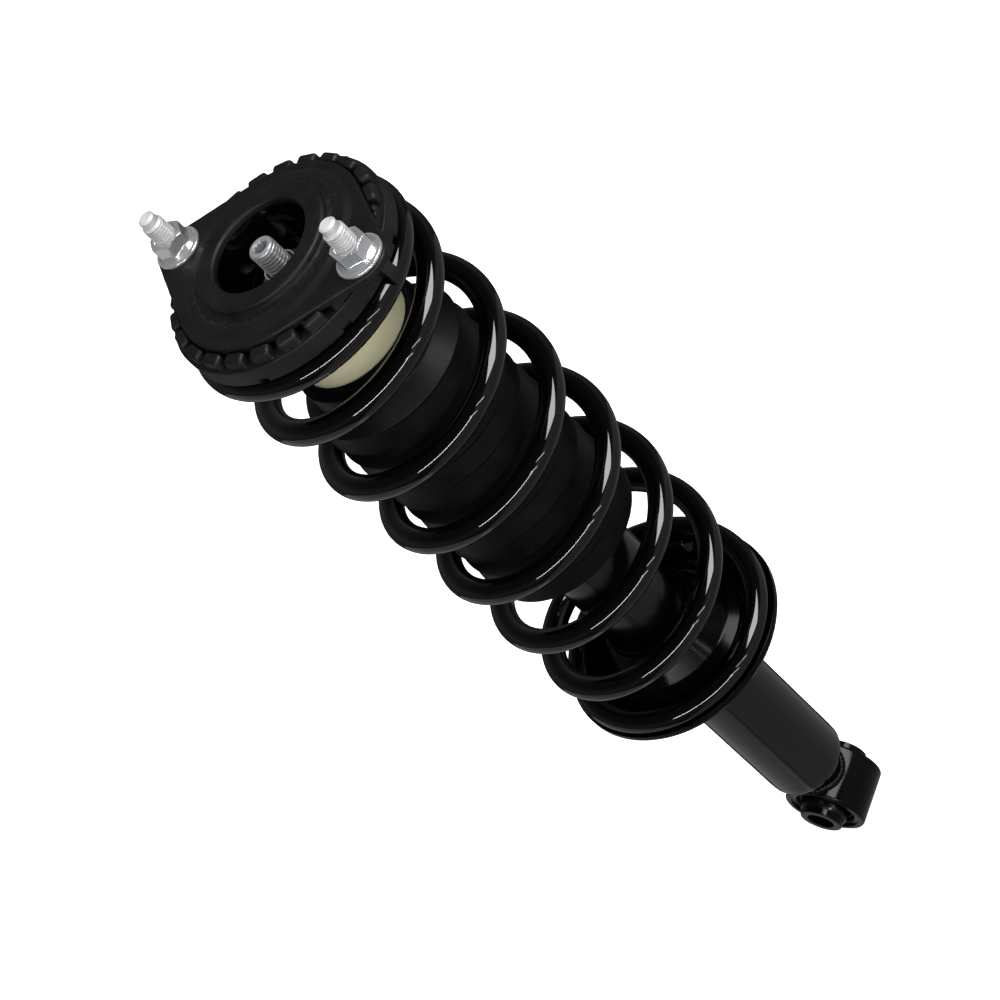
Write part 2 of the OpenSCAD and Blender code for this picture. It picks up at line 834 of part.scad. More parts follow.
// Stamped dish welded to the tube: an upturned lip, a groove for the spring, a step,
// a cone and a hub
module lower_spring_seat() {
    hub_r = tube_r + hub_wall;
    step_in = seat_inner_r - 2.5;
    cone_top = hub_top - 5;
    color("#0f0f11")
        rotate_extrude()
            polygon([
                [tube_r, hub_top - 0.8], [tube_r + 0.8, hub_top], [hub_r - 0.8, hub_top],
                [hub_r, hub_top - 0.8], [hub_r + 0.4, cone_top],
                [hub_r + 3, cone_top - 3], [step_in - 6, seat_height + 9],
                [step_in - 1.5, seat_height + 6], [step_in, seat_height + 5],
                [seat_inner_r, seat_height + 0.8], [seat_inner_r + 0.8, seat_height],
                [seat_rim_r - 4, seat_height], [seat_rim_r - 2, seat_height + 0.9],
                [seat_rim_r - 0.9, seat_height + 2.6], [seat_rim_r - 0.9, seat_height + 4.2],
                [seat_rim_r, seat_height + 4.2], [seat_rim_r, seat_height + 1],
                [seat_rim_r - 1.4, seat_height - 1.6],
                [seat_rim_r - 4.6, seat_height - seat_sheet],
                [seat_inner_r - 1.8, seat_height - seat_sheet],
                [step_in - 1.8, seat_height + 5 - seat_sheet],
                [step_in - 7, seat_height + 8.6 - seat_sheet],
                [hub_r + 1.4, cone_top - 3 - seat_sheet], [tube_r, cone_top - 6 - seat_sheet]
            ]);
}

mount_plate();
mount_studs();
mount_nuts();
mount_rubber();
mount_cup();
upper_spring_seat();
upper_insulator();
rod_nut();
rod_washers();
bump_stop_cup();
bump_stop();
dust_boot();
coil_spring();
piston_rod();
rebound_stop();
rebound_retainer();
piston();
piston_band();
valve_shims();
piston_nut();
bump_cap();
outer_tube();
inner_tube();
rod_guide();
guide_bush();
rod_seal();
base_valve();
tube_base();
lower_spring_seat();
lower_eye();
eye_weld();
bush_shell();
bush_rubber();
bush_sleeve();
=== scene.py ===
"""Looks of the coil-over strut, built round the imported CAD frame.

The frame is in metres. Shapes here are worked out in millimetres in the same frame:
origin at the centre of the lower eye's bore, +Z up the damper, X along the bore.
"""

import json
import math

import bmesh
import bpy
import numpy as np
from mathutils import Matrix, Vector, noise


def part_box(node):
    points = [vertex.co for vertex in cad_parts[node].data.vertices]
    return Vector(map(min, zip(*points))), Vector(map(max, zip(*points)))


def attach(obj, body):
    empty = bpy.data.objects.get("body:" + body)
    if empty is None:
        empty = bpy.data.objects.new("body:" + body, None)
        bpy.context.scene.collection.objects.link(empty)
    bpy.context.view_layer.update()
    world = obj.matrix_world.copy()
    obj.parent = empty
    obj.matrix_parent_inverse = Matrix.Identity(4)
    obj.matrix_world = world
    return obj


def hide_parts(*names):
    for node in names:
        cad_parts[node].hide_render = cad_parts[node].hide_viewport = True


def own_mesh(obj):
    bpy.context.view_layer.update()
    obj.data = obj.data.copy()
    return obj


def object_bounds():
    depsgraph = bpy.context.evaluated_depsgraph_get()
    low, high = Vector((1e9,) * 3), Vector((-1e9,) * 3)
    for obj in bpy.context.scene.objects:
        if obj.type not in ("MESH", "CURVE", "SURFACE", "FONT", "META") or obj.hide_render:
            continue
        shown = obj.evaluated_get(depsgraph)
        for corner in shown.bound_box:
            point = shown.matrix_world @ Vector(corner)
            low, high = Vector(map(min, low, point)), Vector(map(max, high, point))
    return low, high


MM = 0.001
TAU = 2 * math.pi

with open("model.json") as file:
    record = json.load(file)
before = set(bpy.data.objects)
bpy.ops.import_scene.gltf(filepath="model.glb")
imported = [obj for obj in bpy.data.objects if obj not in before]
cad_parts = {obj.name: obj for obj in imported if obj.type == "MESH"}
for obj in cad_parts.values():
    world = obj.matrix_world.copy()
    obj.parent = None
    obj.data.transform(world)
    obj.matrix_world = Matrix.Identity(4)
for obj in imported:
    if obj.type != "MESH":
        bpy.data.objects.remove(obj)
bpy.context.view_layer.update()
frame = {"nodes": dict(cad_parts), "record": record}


def level(node, side):
    """The lowest (side 0) or highest (side 1) Z of a CAD node, in mm."""
    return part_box(node)[side].z / MM


def reach(node, axis=0):
    """The largest X (or Y, Z) of a CAD node, in mm."""
    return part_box(node)[1][axis] / MM


# ---------------------------------------------------------------- driving sizes, mm

PLATE_FACE = level("mount_nuts", 0)
PLATE_SHEET = 3.5
PLATE_R = 46.8
LUG_R = 11.7
STUD_RING_R = frame["record"]["mounts"][0]["dims"]["pcd_mm"] / 2
STUD_ANGLE = 86
STUD_R = 5
PLATE_BOTTOM = PLATE_FACE - PLATE_SHEET
STEP_TOP = level("mount_plate", 1)
STEP_R = 42.2
HOUSING_R = 34
HOUSING_OUTER_R = 37
HOUSING_BOTTOM = level("mount_plate", 0)
RECESS_R = 23.25
RIDGE_R = 32.5
RIDGE_TOP = level("mount_rubber", 1)
BAND_R = 54
BAND_TOP = PLATE_BOTTOM - 2
COIL_CEILING = level("coil_spring", 1) + 0.1
WIRE_R = 5.9
SPRING_R = 55.9
COIL_R = SPRING_R - WIRE_R
SEAT_GROOVE = level("coil_spring", 0)
SEAT_RIM_R = reach("lower_spring_seat")
SEAT_TOP = level("lower_spring_seat", 1)
TUBE_R = 21.55
TUBE_BOTTOM = level("outer_tube", 0)
TUBE_TOP = level("outer_tube", 1)
EYE_R = reach("lower_eye", 2)
ROD_TIP = level("piston_rod", 1)
ROD_R = 7
BOOT_TOP = level("dust_boot", 1)
BOOT_BOTTOM = level("dust_boot", 0)
STOP_TOP = level("bump_stop", 1)
STOP_BOTTOM = level("bump_stop", 0)


# ---------------------------------------------------------------- mesh helpers


class Shape:
    """Points and faces in mm, gathered from lofted loops of points."""

    def __init__(self):
        self.points = []
        self.faces = []

    def loft(self, loops, closed=False, capped=False):
        """Joins each loop to the next. A closed loft joins the last to the first as well."""
        first = len(self.points)
        count = len(loops[0])
        rows = len(loops)
        for loop in loops:
            self.points.extend(tuple(float(v) for v in p) for p in loop)
        for i in range(rows if closed else rows - 1):
            a = first + i * count
            b = first + (i + 1) % rows * count
            for j in range(count):
                k = (j + 1) % count
                self.faces.append((a + j, a + k, b + k, b + j))
        if capped:
            self.faces.append(tuple(range(first, first + count)))
            self.faces.append(tuple(range(first + (rows - 1) * count, first + rows * count)))

    def build(self, name, body, material, slot, replaces=(), crease=40):
        """Makes the object, smooth but for edges sharper than crease degrees."""
        mesh = bpy.data.meshes.new(name)
        mesh.from_pydata([tuple(c * MM for c in p) for p in self.points], [], self.faces)
        work = bmesh.new()
        work.from_mesh(mesh)
        bmesh.ops.remove_doubles(work, verts=work.verts, dist=1e-7)
        bmesh.ops.recalc_face_normals(work, faces=work.faces)
        work.to_mesh(mesh)
        work.free()
        mesh.shade_smooth()
        mesh.set_sharp_from_angle(angle=math.radians(crease))
        obj = bpy.data.objects.new(name, mesh)
        bpy.context.scene.collection.objects.link(obj)
        mesh.materials.append(material)
        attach(obj, body)
        if replaces:
            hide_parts(*replaces)
        return obj


def rounded(corners, closed=True, steps=5):
    """An outline whose corners (x, y, fillet) become arcs."""
    points = []
    count = len(corners)
    for i, (x, y, fillet) in enumerate(corners):
        here = np.array((x, y), float)
        at_end = not closed and i in (0, count - 1)
        if fillet == 0 or at_end:
            points.append(here)
            continue
        back = np.array(corners[i - 1][:2], float) - here
        ahead = np.array(corners[(i + 1) % count][:2], float) - here
        back_length, ahead_length = np.linalg.norm(back), np.linalg.norm(ahead)
        back /= back_length
        ahead /= ahead_length
        half = math.acos(float(np.clip(back @ ahead, -1, 1))) / 2
        if half > math.radians(89):
            points.append(here)
            continue
        run = min(fillet / math.tan(half), 0.48 * back_length, 0.48 * ahead_length)
        radius = run * math.tan(half)
        middle = back + ahead
        centre = here + middle / np.linalg.norm(middle) * radius / math.sin(half)
        start = here + back * run - centre
        end = here + ahead * run - centre
        angle = math.atan2(start[1], start[0])
        turn = (math.atan2(end[1], end[0]) - angle + math.pi) % TAU - math.pi
        for step in range(steps + 1):
            a = angle + turn * step / steps
            points.append(centre + radius * np.array((math.cos(a), math.sin(a))))
    return points


def ring_loops(profile, segments=192, warp=None, axis="z"):
    """One loop for each (radius, height) of a profile, turned round Z or X.

    warp(radius, height, angle) may change the radius and the height.
    """
    angles = [TAU * n / segments for n in range(segments)]
    loops = []
    for radius, height in profile:
        loop = []
        for a in angles:
            r, h = warp(radius, height, a) if warp else (radius, height)
            across, along = r * math.cos(a), r * math.sin(a)
            loop.append((across, along, h) if axis == "z" else (h, across, along))
        loops.append(loop)
    return loops


def lathe(corners, segments=192, warp=None, axis="z", steps=5):
    """A turned ring: a closed profile of (radius, height, fillet) corners."""
    shape = Shape()
    shape.loft(ring_loops(rounded(corners, steps=steps), segments, warp, axis), closed=True)
    return shape


def wobble(x, y, z, size, seed=0.0):
    """Smooth noise from -1 to 1 whose lumps are about size mm across."""
    return noise.noise(Vector((x / size + seed, y / size - seed, z / size + 2 * seed)))


def polar(radius, degrees, height):
    a = math.radians(degrees)
    return np.array((radius * math.cos(a), radius * math.sin(a), height))


# ---------------------------------------------------------------- materials


class Nodes:
    """Short names for the nodes of one material."""

    def __init__(self, name):
        self.material = bpy.data.materials.new(name)
        self.material.use_nodes = True
        self.tree = self.material.node_tree
        self.shader = self.tree.nodes["Principled BSDF"]
        self.place = self.tree.nodes.new("ShaderNodeTexCoord").outputs["Object"]

    def link(self, source, target):
        self.tree.links.new(source, target)

    def noise(self, scale, detail=4, roughness=0.5, stretch=None):
        """Noise from about 0.2 to 0.8, with scale lumps to the metre."""
        node = self.tree.nodes.new("ShaderNodeTexNoise")
        node.inputs["Scale"].default_value = scale
        node.inputs["Detail"].default_value = detail
        node.inputs["Roughness"].default_value = roughness
        place = self.place
        if stretch:
            mapping = self.tree.nodes.new("ShaderNodeMapping")
            mapping.inputs["Scale"].default_value = stretch
            self.link(place, mapping.inputs["Vector"])
            place = mapping.outputs["Vector"]
        self.link(place, node.inputs["Vector"])
        return node.outputs["Fac"]

    def cells(self, scale):
        """Distance to the nearest of scattered points, scale to the metre."""
        node = self.tree.nodes.new("ShaderNodeTexVoronoi")
        node.inputs["Scale"].default_value = scale
        self.link(self.place, node.inputs["Vector"])
        return node.outputs["Distance"]

    def spread(self, source, low, high, start=0.3, end=0.7):
        """Maps start..end of a value to low..high."""
        node = self.tree.nodes.new("ShaderNodeMapRange")
        node.inputs["From Min"].default_value = start
        node.inputs["From Max"].default_value = end
        node.inputs["To Min"].default_value = low
        node.inputs["To Max"].default_value = high
        self.link(source, node.inputs["Value"])
        return node.outputs["Result"]

    def math(self, operation, a, b):
        node = self.tree.nodes.new("ShaderNodeMath")
        node.operation = operation
        node.use_clamp = True
        for value, socket in zip((a, b), node.inputs):
            if isinstance(value, (int, float)):
                socket.default_value = value
            else:
                self.link(value, socket)
        return node.outputs["Value"]

    def mix(self, factor, a, b):
        """Mixes two colours. Each is three numbers or another mix."""
        node = self.tree.nodes.new("ShaderNodeMix")
        node.data_type = "RGBA"
        self.link(factor, node.inputs["Factor"])
        for value, socket in ((a, node.inputs["A"]), (b, node.inputs["B"])):
            sockets = [s for s in node.inputs if s.name == socket.name and s.type == "RGBA"]
            if isinstance(value, tuple):
                sockets[0].default_value = (*value, 1)
            else:
                self.link(value, sockets[0])
        return [s for s in node.outputs if s.type == "RGBA"][0]

    def edges(self, low=0.51, high=0.58):
        """1 on sharp outer edges and 0 elsewhere."""
        return self.spread(self.pointiness(), 0, 1, low, high)

    def pointiness(self):
        return self.tree.nodes.new("ShaderNodeNewGeometry").outputs["Pointiness"]

    def bump(self, source, strength, depth_mm, below=None):
        node = self.tree.nodes.new("ShaderNodeBump")
        node.inputs["Strength"].default_value = strength
        node.inputs["Distance"].default_value = depth_mm * MM
        self.link(source, node.inputs["Height"])
        if below is not None:
            self.link(below, node.inputs["Normal"])
        return node.outputs["Normal"]

    def finish(self, colour, roughness, normal, metallic=0.0, specular=0.5, coat=0.0, coat_rough=0.05):
        self.link(colour, self.shader.inputs["Base Color"])
        self.link(roughness, self.shader.inputs["Roughness"])
        self.link(normal, self.shader.inputs["Normal"])
        self.shader.inputs["Metallic"].default_value = metallic
        self.shader.inputs["Specular IOR Level"].default_value = specular
        self.shader.inputs["Coat Weight"].default_value = coat
        self.shader.inputs["Coat Roughness"].default_value = coat_rough
        return self.material


def paint(name, dark, light, rough, peel=0.05, lump=0.0, shine=0.5):
    """Black paint or powder coat with orange peel and slightly duller patches."""
    n = Nodes(name)
    tone = n.mix(n.spread(n.noise(38, 5), 0, 1), dark, light)
    specks = n.spread(n.noise(800, 2, 0.6), 0, 0.12, 0.72, 0.76)
    roughness = n.math("ADD", n.spread(n.noise(30, 4, 0.6), rough - 0.015, rough + 0.02), specks)
    skin = n.bump(n.noise(210, 2, 0.4), peel, 0.04)
    if lump:
        skin = n.bump(n.noise(130, 3, 0.5), lump, 0.3, skin)
    return n.finish(tone, roughness, skin, specular=shine)


def worn_paint_and_edge_highlight(name, dark, light, rough, fleck=(0.20, 0.20, 0.195)):
    """Semi-matt coat over rough steel, with a few pale flecks along the sharp edges: partly chipped paint, partly
    a painted highlight on the edges.
    """
    n = Nodes(name)
    grain = n.noise(900, 4, 0.7)
    tone = n.mix(n.spread(n.noise(55, 6, 0.6), 0, 1), dark, light)
    # Pale grain on sharp edges: partly chipped paint, partly a painted highlight where the rough edges catch the
    # light.
    chips_and_edge_highlight = n.math("MULTIPLY", n.edges(0.535, 0.62), n.spread(grain, 0, 1, 0.52, 0.66))
    dots = n.spread(n.noise(620, 3, 0.6), 0, 0.35, 0.74, 0.79)
    tone = n.mix(n.math("ADD", chips_and_edge_highlight, dots), tone, fleck)
    patches = n.spread(n.noise(120, 5), rough - 0.05, rough + 0.06)
    roughness = n.math("ADD", patches, n.math("MULTIPLY", chips_and_edge_highlight, 0.2))
    skin = n.bump(n.noise(420, 3, 0.5), 0.18, 0.08)
    skin = n.bump(grain, 0.08, 0.05, skin)
    return n.finish(tone, roughness, skin, specular=0.28)


def rubber(name, dark, light, rough, grain_scale=1500, lump=0.1, shine=0.3):
    """Moulded rubber: fine grain, soft lumps and a faint grey bloom."""
    n = Nodes(name)
    bloom = n.spread(n.noise(45, 6, 0.65), 0, 1, 0.35, 0.75)
    tone = n.mix(bloom, dark, light)
    scuffs = n.spread(n.noise(260, 6, 0.75, (1, 1, 3)), 0, 0.5, 0.62, 0.75)
    tone = n.mix(scuffs, tone, tuple(2.4 * c for c in light))
    roughness = n.spread(n.noise(90, 5, 0.6), rough - 0.08, rough + 0.1)
    skin = n.bump(n.noise(150, 3, 0.5), lump, 0.2)
    skin = n.bump(n.noise(grain_scale, 3, 0.6), 0.16, 0.04, skin)
    return n.finish(tone, roughness, skin, specular=shine)


def foam(name):
    """Cream urethane foam with fine closed pores."""
    n = Nodes(name)
    tone = n.mix(n.spread(n.noise(30, 5), 0, 1), (0.88, 0.83, 0.53), (0.94, 0.90, 0.63))
    pores = n.spread(n.cells(420), 0, 1, 0.04, 0.10)
    tone = n.mix(pores, (0.60, 0.54, 0.32), tone)
    roughness = n.spread(n.noise(300, 4), 0.5, 0.68)
    skin = n.bump(pores, 0.2, 0.06)
    skin = n.bump(n.noise(110, 3), 0.1, 0.2, skin)
    return n.finish(tone, roughness, skin, specular=0.35)


def metal(name, dark, light, rough, streak=(1, 1, 1), depth=0.08, scale=520, metallic=1.0, painted_valley_shade=0.0):
    """Bare or plated metal with turned or pressed marks, slight stains and painted shade darkening its hollows,
    such as thread valleys.
    """
    n = Nodes(name)
    tone = n.mix(n.spread(n.noise(140, 6, 0.65), 0, 1), dark, light)
    stain = n.spread(n.noise(420, 5, 0.7), 0, 0.25, 0.64, 0.76)
    tone = n.mix(stain, tone, tuple(0.55 * c for c in dark))
    # Painted shade: hollows with low pointiness, such as thread valleys, are darkened as if shade fell in them.
    valley_shade_mask = n.spread(n.pointiness(), painted_valley_shade, 0, 0.40, 0.49)
    tone = n.mix(valley_shade_mask, tone, tuple(0.12 * c for c in dark))
    roughness = n.spread(n.noise(210, 6, 0.7), rough - 0.05, rough + 0.1)
    skin = n.bump(n.noise(scale, 5, 0.65, streak), depth, 0.04)
    return n.finish(tone, roughness, skin, metallic=metallic)


MATERIALS = {
    "gloss_black": paint("gloss_black", (0.0012, 0.0012, 0.0014), (0.002, 0.002, 0.0022), 0.06, 0.03),
    "black_paint": paint("satin_black", (0.002, 0.002, 0.0022), (0.003, 0.003, 0.0033), 0.13, 0.012),
    "eye_black": paint("eye_black", (0.0015, 0.0015, 0.0017), (0.0025, 0.0025, 0.0027), 0.13, 0.03, 0.07, 0.16),
    "dish_black": paint("dish_black", (0.0012, 0.0012, 0.0014), (0.002, 0.002, 0.0022), 0.15, 0.03, 0, 0.10),
    "plate_black": worn_paint_and_edge_highlight("plate_black", (0.005, 0.005, 0.0052), (0.0085, 0.0085, 0.0087), 0.46),
    "rubber": rubber("moulded_rubber", (0.0042, 0.0044, 0.0046), (0.0078, 0.0081, 0.0085), 0.5, 800, 0.25),
    "boot_rubber": rubber(
        "boot_rubber", (0.0018, 0.0018, 0.002), (0.0028, 0.0028, 0.003), 0.45, 900, 0.05, 0.14),
    "greasy": rubber("greasy_rubber", (0.0025, 0.0025, 0.0028), (0.004, 0.004, 0.0043), 0.2, 500, 0.35),
    "urethane": foam("urethane"),
    "zinc_bright": metal(
        "zinc_bright", (0.70, 0.72, 0.74), (0.86, 0.88, 0.90), 0.17, depth=0.05, scale=300, metallic=0.72),
    # The studs' threads carry painted shade in their valleys, at 0.6 strength.
    "zinc_matt": metal(
        "zinc_matt", (0.62, 0.62, 0.62), (0.80, 0.80, 0.80), 0.5, depth=0.1, scale=700, metallic=0.25, painted_valley_shade=0.6),
    "nut_dark": metal(
        "nut_dark", (0.02, 0.02, 0.02), (0.05, 0.05, 0.05), 0.4, depth=0.1, scale=700, metallic=0.6),
    "steel": metal("steel", (0.42, 0.43, 0.44), (0.60, 0.61, 0.62), 0.30, (1, 1, 8)),
    # The rod's thread carries painted shade in its valleys, at full strength.
    "rod_chrome": metal(
        "rod_chrome", (0.34, 0.35, 0.36), (0.42, 0.43, 0.44), 0.36, (1, 1, 8), 0.03, metallic=0.45, painted_valley_shade=1.0),
    "sinter": metal("sinter", (0.24, 0.24, 0.24), (0.36, 0.36, 0.36), 0.50, depth=0.3, scale=900),
    "bronze": metal("bronze", (0.42, 0.25, 0.09), (0.58, 0.37, 0.15), 0.32, (1, 1, 9)),
    "ptfe": rubber("ptfe", (0.05, 0.08, 0.06), (0.08, 0.12, 0.09), 0.35, 900, 0.03),
}

# The record's material slot of each CAD node
SLOTS = {row["node"]: row["material_slot"] for row in frame["record"]["subparts"]}


# ---------------------------------------------------------------- coil spring

COIL_TURNS = 8
END_PITCH = 2
END_TURNS = 0.62
LEAD_TURNS = 0.29
COIL_START = 10
COIL_BOW = 1.5
BOW_ANGLE = -29.75


def opened(turns):
    """Rise of the lead-in: none on the closed end, then a square law, then a straight line."""
    if turns < END_TURNS:
        return 0.0
    if turns < END_TURNS + LEAD_TURNS:
        return (turns - END_TURNS) ** 2 / (2 * LEAD_TURNS)
    return turns - END_TURNS - LEAD_TURNS / 2


def coil_height(turns):
    low, high = SEAT_GROOVE + WIRE_R, COIL_CEILING - 0.1 - WIRE_R
    open_turns = 2 * opened(COIL_TURNS) - COIL_TURNS
    extra = (high - low - END_PITCH * COIL_TURNS) / open_turns
    rise = opened(turns) + opened(COIL_TURNS) - opened(COIL_TURNS - turns) - turns
    return low + END_PITCH * turns + extra * rise


def make_spring():
    """Round wire swept up the helix, with sheared and rounded ends and a slight bow."""
    rings_a_turn, sides, end_round = 120, 40, 0.9
    rings = COIL_TURNS * rings_a_turn
    low, high = coil_height(0), coil_height(COIL_TURNS)
    turns = [i / rings_a_turn for i in range(rings + 1)]
    loops = []
    tip = end_round / (TAU * COIL_R)
    ends = [(tip * (1 - math.sin(a)), end_round * (1 - math.cos(a))) for a in np.linspace(math.pi / 2, 0, 5)]
    stations = [(t, cut) for t, cut in ends] + [(t, 0.0) for t in turns[1:-1]]
    stations += [(COIL_TURNS - t, cut) for t, cut in reversed(ends)]
    for turn, cut in stations:
        around = math.radians(COIL_START) + TAU * turn
        height = coil_height(turn)
        bow = COIL_BOW * math.sin(math.pi * (height - low) / (high - low))
        shift = polar(bow, BOW_ANGLE, 0)
        loop = []
        for j in range(sides):
            a = TAU * j / sides
            r = COIL_R + (WIRE_R - cut) * math.cos(a)
            z = height + (WIRE_R - cut) * math.sin(a)
            loop.append(shift + np.array((r * math.cos(around), r * math.sin(around), z)))
        loops.append(loop)
    shape = Shape()
    shape.loft(loops, capped=True)
    spring = shape.build("spring_coil", "top_mount", MATERIALS["gloss_black"], "gloss_black", ["coil_spring"])
    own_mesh(spring)


# ---------------------------------------------------------------- boot and bump stop

BOOT_R = 40.1
BOOT_NECK_R = 32.4
BOOT_SHOULDER = BOOT_TOP + 0.1 - 18.5
FOLD_HEIGHT = 11.55
FOLD_DEPTH = 2.1
BOOT_WALL = 1.6


def make_boot():
    """Bellows with sharp crests, a plain neck and a lip that hugs the bump stop."""
    folds = round((BOOT_SHOULDER - BOOT_BOTTOM) / FOLD_HEIGHT)

    def side(inset):
        corners = []
        for n in range(folds):
            crest = BOOT_SHOULDER - n * FOLD_HEIGHT
            corners.append((BOOT_R - inset, crest, 0.6))
            corners.append((BOOT_R - inset - FOLD_DEPTH, crest - 0.17 * FOLD_HEIGHT, 0.6))
        return corners

    neck_in = BOOT_NECK_R - BOOT_WALL
    groove_r = reach("bump_stop") - 3 + 0.1
    lip_r, lip_top = reach("bump_stop") + 0.15, BOOT_TOP + 3.2
    outside = [(groove_r, BOOT_TOP, 0.3), (lip_r, BOOT_TOP, 0), (lip_r, lip_top, 0.3),
               (lip_r + 0.8, lip_top, 0.5), (lip_r + 2, BOOT_TOP + 0.8, 1.5),
               (BOOT_NECK_R, BOOT_TOP - 0.3, 1.5), (BOOT_NECK_R, BOOT_TOP - 10, 2)]
    outside += side(0) + [(BOOT_R, BOOT_BOTTOM, 0.5)]
    inside = [(groove_r, BOOT_TOP - 2.8, 0.3), (neck_in, BOOT_TOP - 2.8, 0.3), (neck_in, BOOT_TOP - 11, 2)]
    inside += side(BOOT_WALL) + [(BOOT_R - BOOT_WALL, BOOT_BOTTOM, 0.5)]

    def sag(r, z, a):
        lumps = wobble(30 * math.cos(a), 30 * math.sin(a), z, 26, 3.1)
        return r + 0.18 * lumps, z + 0.12 * lumps

    shape = lathe(outside + inside[::-1], 256, sag, steps=4)
    boot = shape.build("bellows", "top_mount", MATERIALS["boot_rubber"], "boot_rubber", ["dust_boot"], 60)
    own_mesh(boot)


def make_bump_stop():
    """Foamed urethane: a wide head, the boot's groove, a waist and a nose."""
    head_r = reach("bump_stop")
    nose_r, bore_r = head_r - 6.5, ROD_R + 1.2
    groove_top, groove_low = BOOT_TOP + 0.1, BOOT_TOP - 2.9
    low = STOP_BOTTOM
    corners = [
        (bore_r, low + 2, 1), (bore_r + 5, low, 2), (nose_r - 3, low + 3, 4), (nose_r, low + 13, 8),
        (nose_r - 4, low + 22, 4), (nose_r, low + 31, 5), (nose_r, groove_low - 6, 2),
        (head_r - 1.5, groove_low - 4, 1), (head_r - 1.5, groove_low, 0.3),
        (head_r - 3, groove_low, 0.2), (head_r - 3, groove_top, 0.2), (head_r, groove_top, 0.9),
        (head_r, STOP_TOP, 0.4), (bore_r, STOP_TOP, 0.4),
    ]
    stop = lathe(corners, 160).build(
        "foam_stop", "top_mount", MATERIALS["urethane"], "urethane", ["bump_stop"], 50)
    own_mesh(stop)


# ---------------------------------------------------------------- threads, rod, studs, nuts


def thread_rows(radius, low, high, pitch, rows_a_pitch=10):
    """Profile points along a thread, close enough to show its flanks."""
    count = max(2, round((high - low) / pitch * rows_a_pitch))
    return [(radius, low + (high - low) * n / count) for n in range(count + 1)]


def thread_warp(major, pitch, low, high):
    """Cuts a thread of that pitch into the radius between low and high."""
    depth = 0.61 * pitch

    def warp(r, z, a):
        if not low <= z <= high or r < major - 0.01:
            return r, z
        phase = (z / pitch - a / TAU) % 1
        flank = min(1.0, max(0.0, 1.25 - abs(4 * phase - 2)) / 1.0)
        fade = min(1.0, (z - low) / pitch + 0.15, (high - z) / pitch + 0.15)
        return r - depth * (1 - flank) * fade, z

    return warp


def make_rod():
    """Chromed rod with an M12 thread, a rounded rim and a hexagon socket on top."""
    thread_r, pitch = 6, 1.75
    shoulder = STOP_TOP
    foot = level("piston_rod", 0)
    piston_r = 5
    shaft_end = level("valve_shims", 1)
    thread_low, thread_high = shoulder + 6, ROD_TIP - 1.3
    socket_r, socket_deep = 3, 7
    outside = rounded([(0.2, foot, 0), (piston_r, foot, 0.6), (piston_r, shaft_end, 0), (ROD_R, shaft_end, 0.4),
                       (ROD_R, shoulder, 0.5), (thread_r, shoulder, 0)], closed=False)
    outside += thread_rows(thread_r, thread_low, thread_high, pitch)
    rim = ROD_TIP - 1.2
    rim_r = thread_r - 0.2
    quarter = np.linspace(0, math.pi / 2, 6)
    outside += [(rim_r - 1.4 * (1 - math.cos(a)), rim + 1.2 * math.sin(a)) for a in quarter]
    outside += [(socket_r * 1.16 + 0.5, ROD_TIP), (socket_r * 1.16, ROD_TIP - 0.35)]
    hexagon_from = len(outside)
    socket_floor = ROD_TIP - socket_deep
    outside += [(socket_r, ROD_TIP - 0.8), (socket_r, socket_floor), (0.2, socket_floor - 1.2)]
    cut = thread_warp(thread_r, pitch, thread_low, thread_high)
    loops = ring_loops([(r, z) for r, z in outside], 96, cut)
    for row in range(hexagon_from, hexagon_from + 2):
        height = outside[row][1]
        loops[row] = [
            (hexagon(a, socket_r) * math.cos(a), hexagon(a, socket_r) * math.sin(a), height)
            for a in (TAU * n / 96 for n in range(96))
        ]
    shape = Shape()
    shape.loft(loops, capped=True)
    shape.build("damper_rod", "top_mount", MATERIALS["rod_chrome"], "rod_chrome", ["piston_rod"], 38)


def make_nut_collar():
    """The bright rim of the rod nut's collar, which catches the light in the recess."""
    top, rim_r = level("rod_nut", 1), 7.95
    foot, crown = top - 1.2, top + 0.05
    corners = [(6.6, foot, 0), (rim_r, foot, 0), (rim_r, crown, 0.4), (6.9, crown, 0.4)]
    lathe(corners, 96).build("nut_collar", "top_mount", MATERIALS["zinc_bright"], "zinc_bright", [], 40)


def hexagon(angle, flat_r):
    """Radius of a hexagon with that inner radius, at an angle."""
    away = (angle + math.pi / 6) % (math.pi / 3) - math.pi / 6
    return flat_r / math.cos(away)


def at_stud(shape, turn, spin):
    """The shape's points moved to a stud and spun about it."""
    c = polar(STUD_RING_R, STUD_ANGLE + turn, 0)
    s = math.radians(spin)
    moved = Shape()
    moved.faces = shape.faces
    moved.points = [
        (c[0] + x * math.cos(s) - y * math.sin(s), c[1] + x * math.sin(s) + y * math.cos(s), z)
        for x, y, z in shape.points
    ]
    return moved


def make_studs():
    """M10 studs with a rolled thread and a dog point; the neck is left plain, without its knurl."""
    tip = level("mount_studs", 1)
    head_bottom = level("mount_studs", 0)
    pitch, dog_r, dog_height = 1.5, 3.9, 4
    thread_high = tip - dog_height - 0.9
    profile = rounded([(0.2, head_bottom, 0), (7.8, head_bottom, 1), (7.8, PLATE_BOTTOM, 0.3),
                       (STUD_R + 0.4, PLATE_BOTTOM, 0), (STUD_R + 0.4, PLATE_FACE, 0)], closed=False)
    profile += thread_rows(STUD_R, PLATE_FACE + 0.2, thread_high, pitch)
    profile += rounded([(STUD_R - 0.3, thread_high + 0.2, 0), (dog_r, tip - dog_height, 0.5),
                        (dog_r, tip - 0.9, 0.5), (dog_r - 1.1, tip, 0.4), (0.2, tip - 0.15, 0)], closed=False)
    stud = Shape()
    stud.loft(ring_loops(profile, 84, thread_warp(STUD_R, pitch, PLATE_FACE + 0.2, thread_high)), capped=True)
    for number, turn in enumerate((0, 180)):
        name = f"stud_{number + 1}"
        replaced = ["mount_studs"] if number == 0 else []
        at_stud(stud, turn, 40 * number).build(
            name, "top_mount", MATERIALS["zinc_matt"], "zinc_matt", replaced, 38)


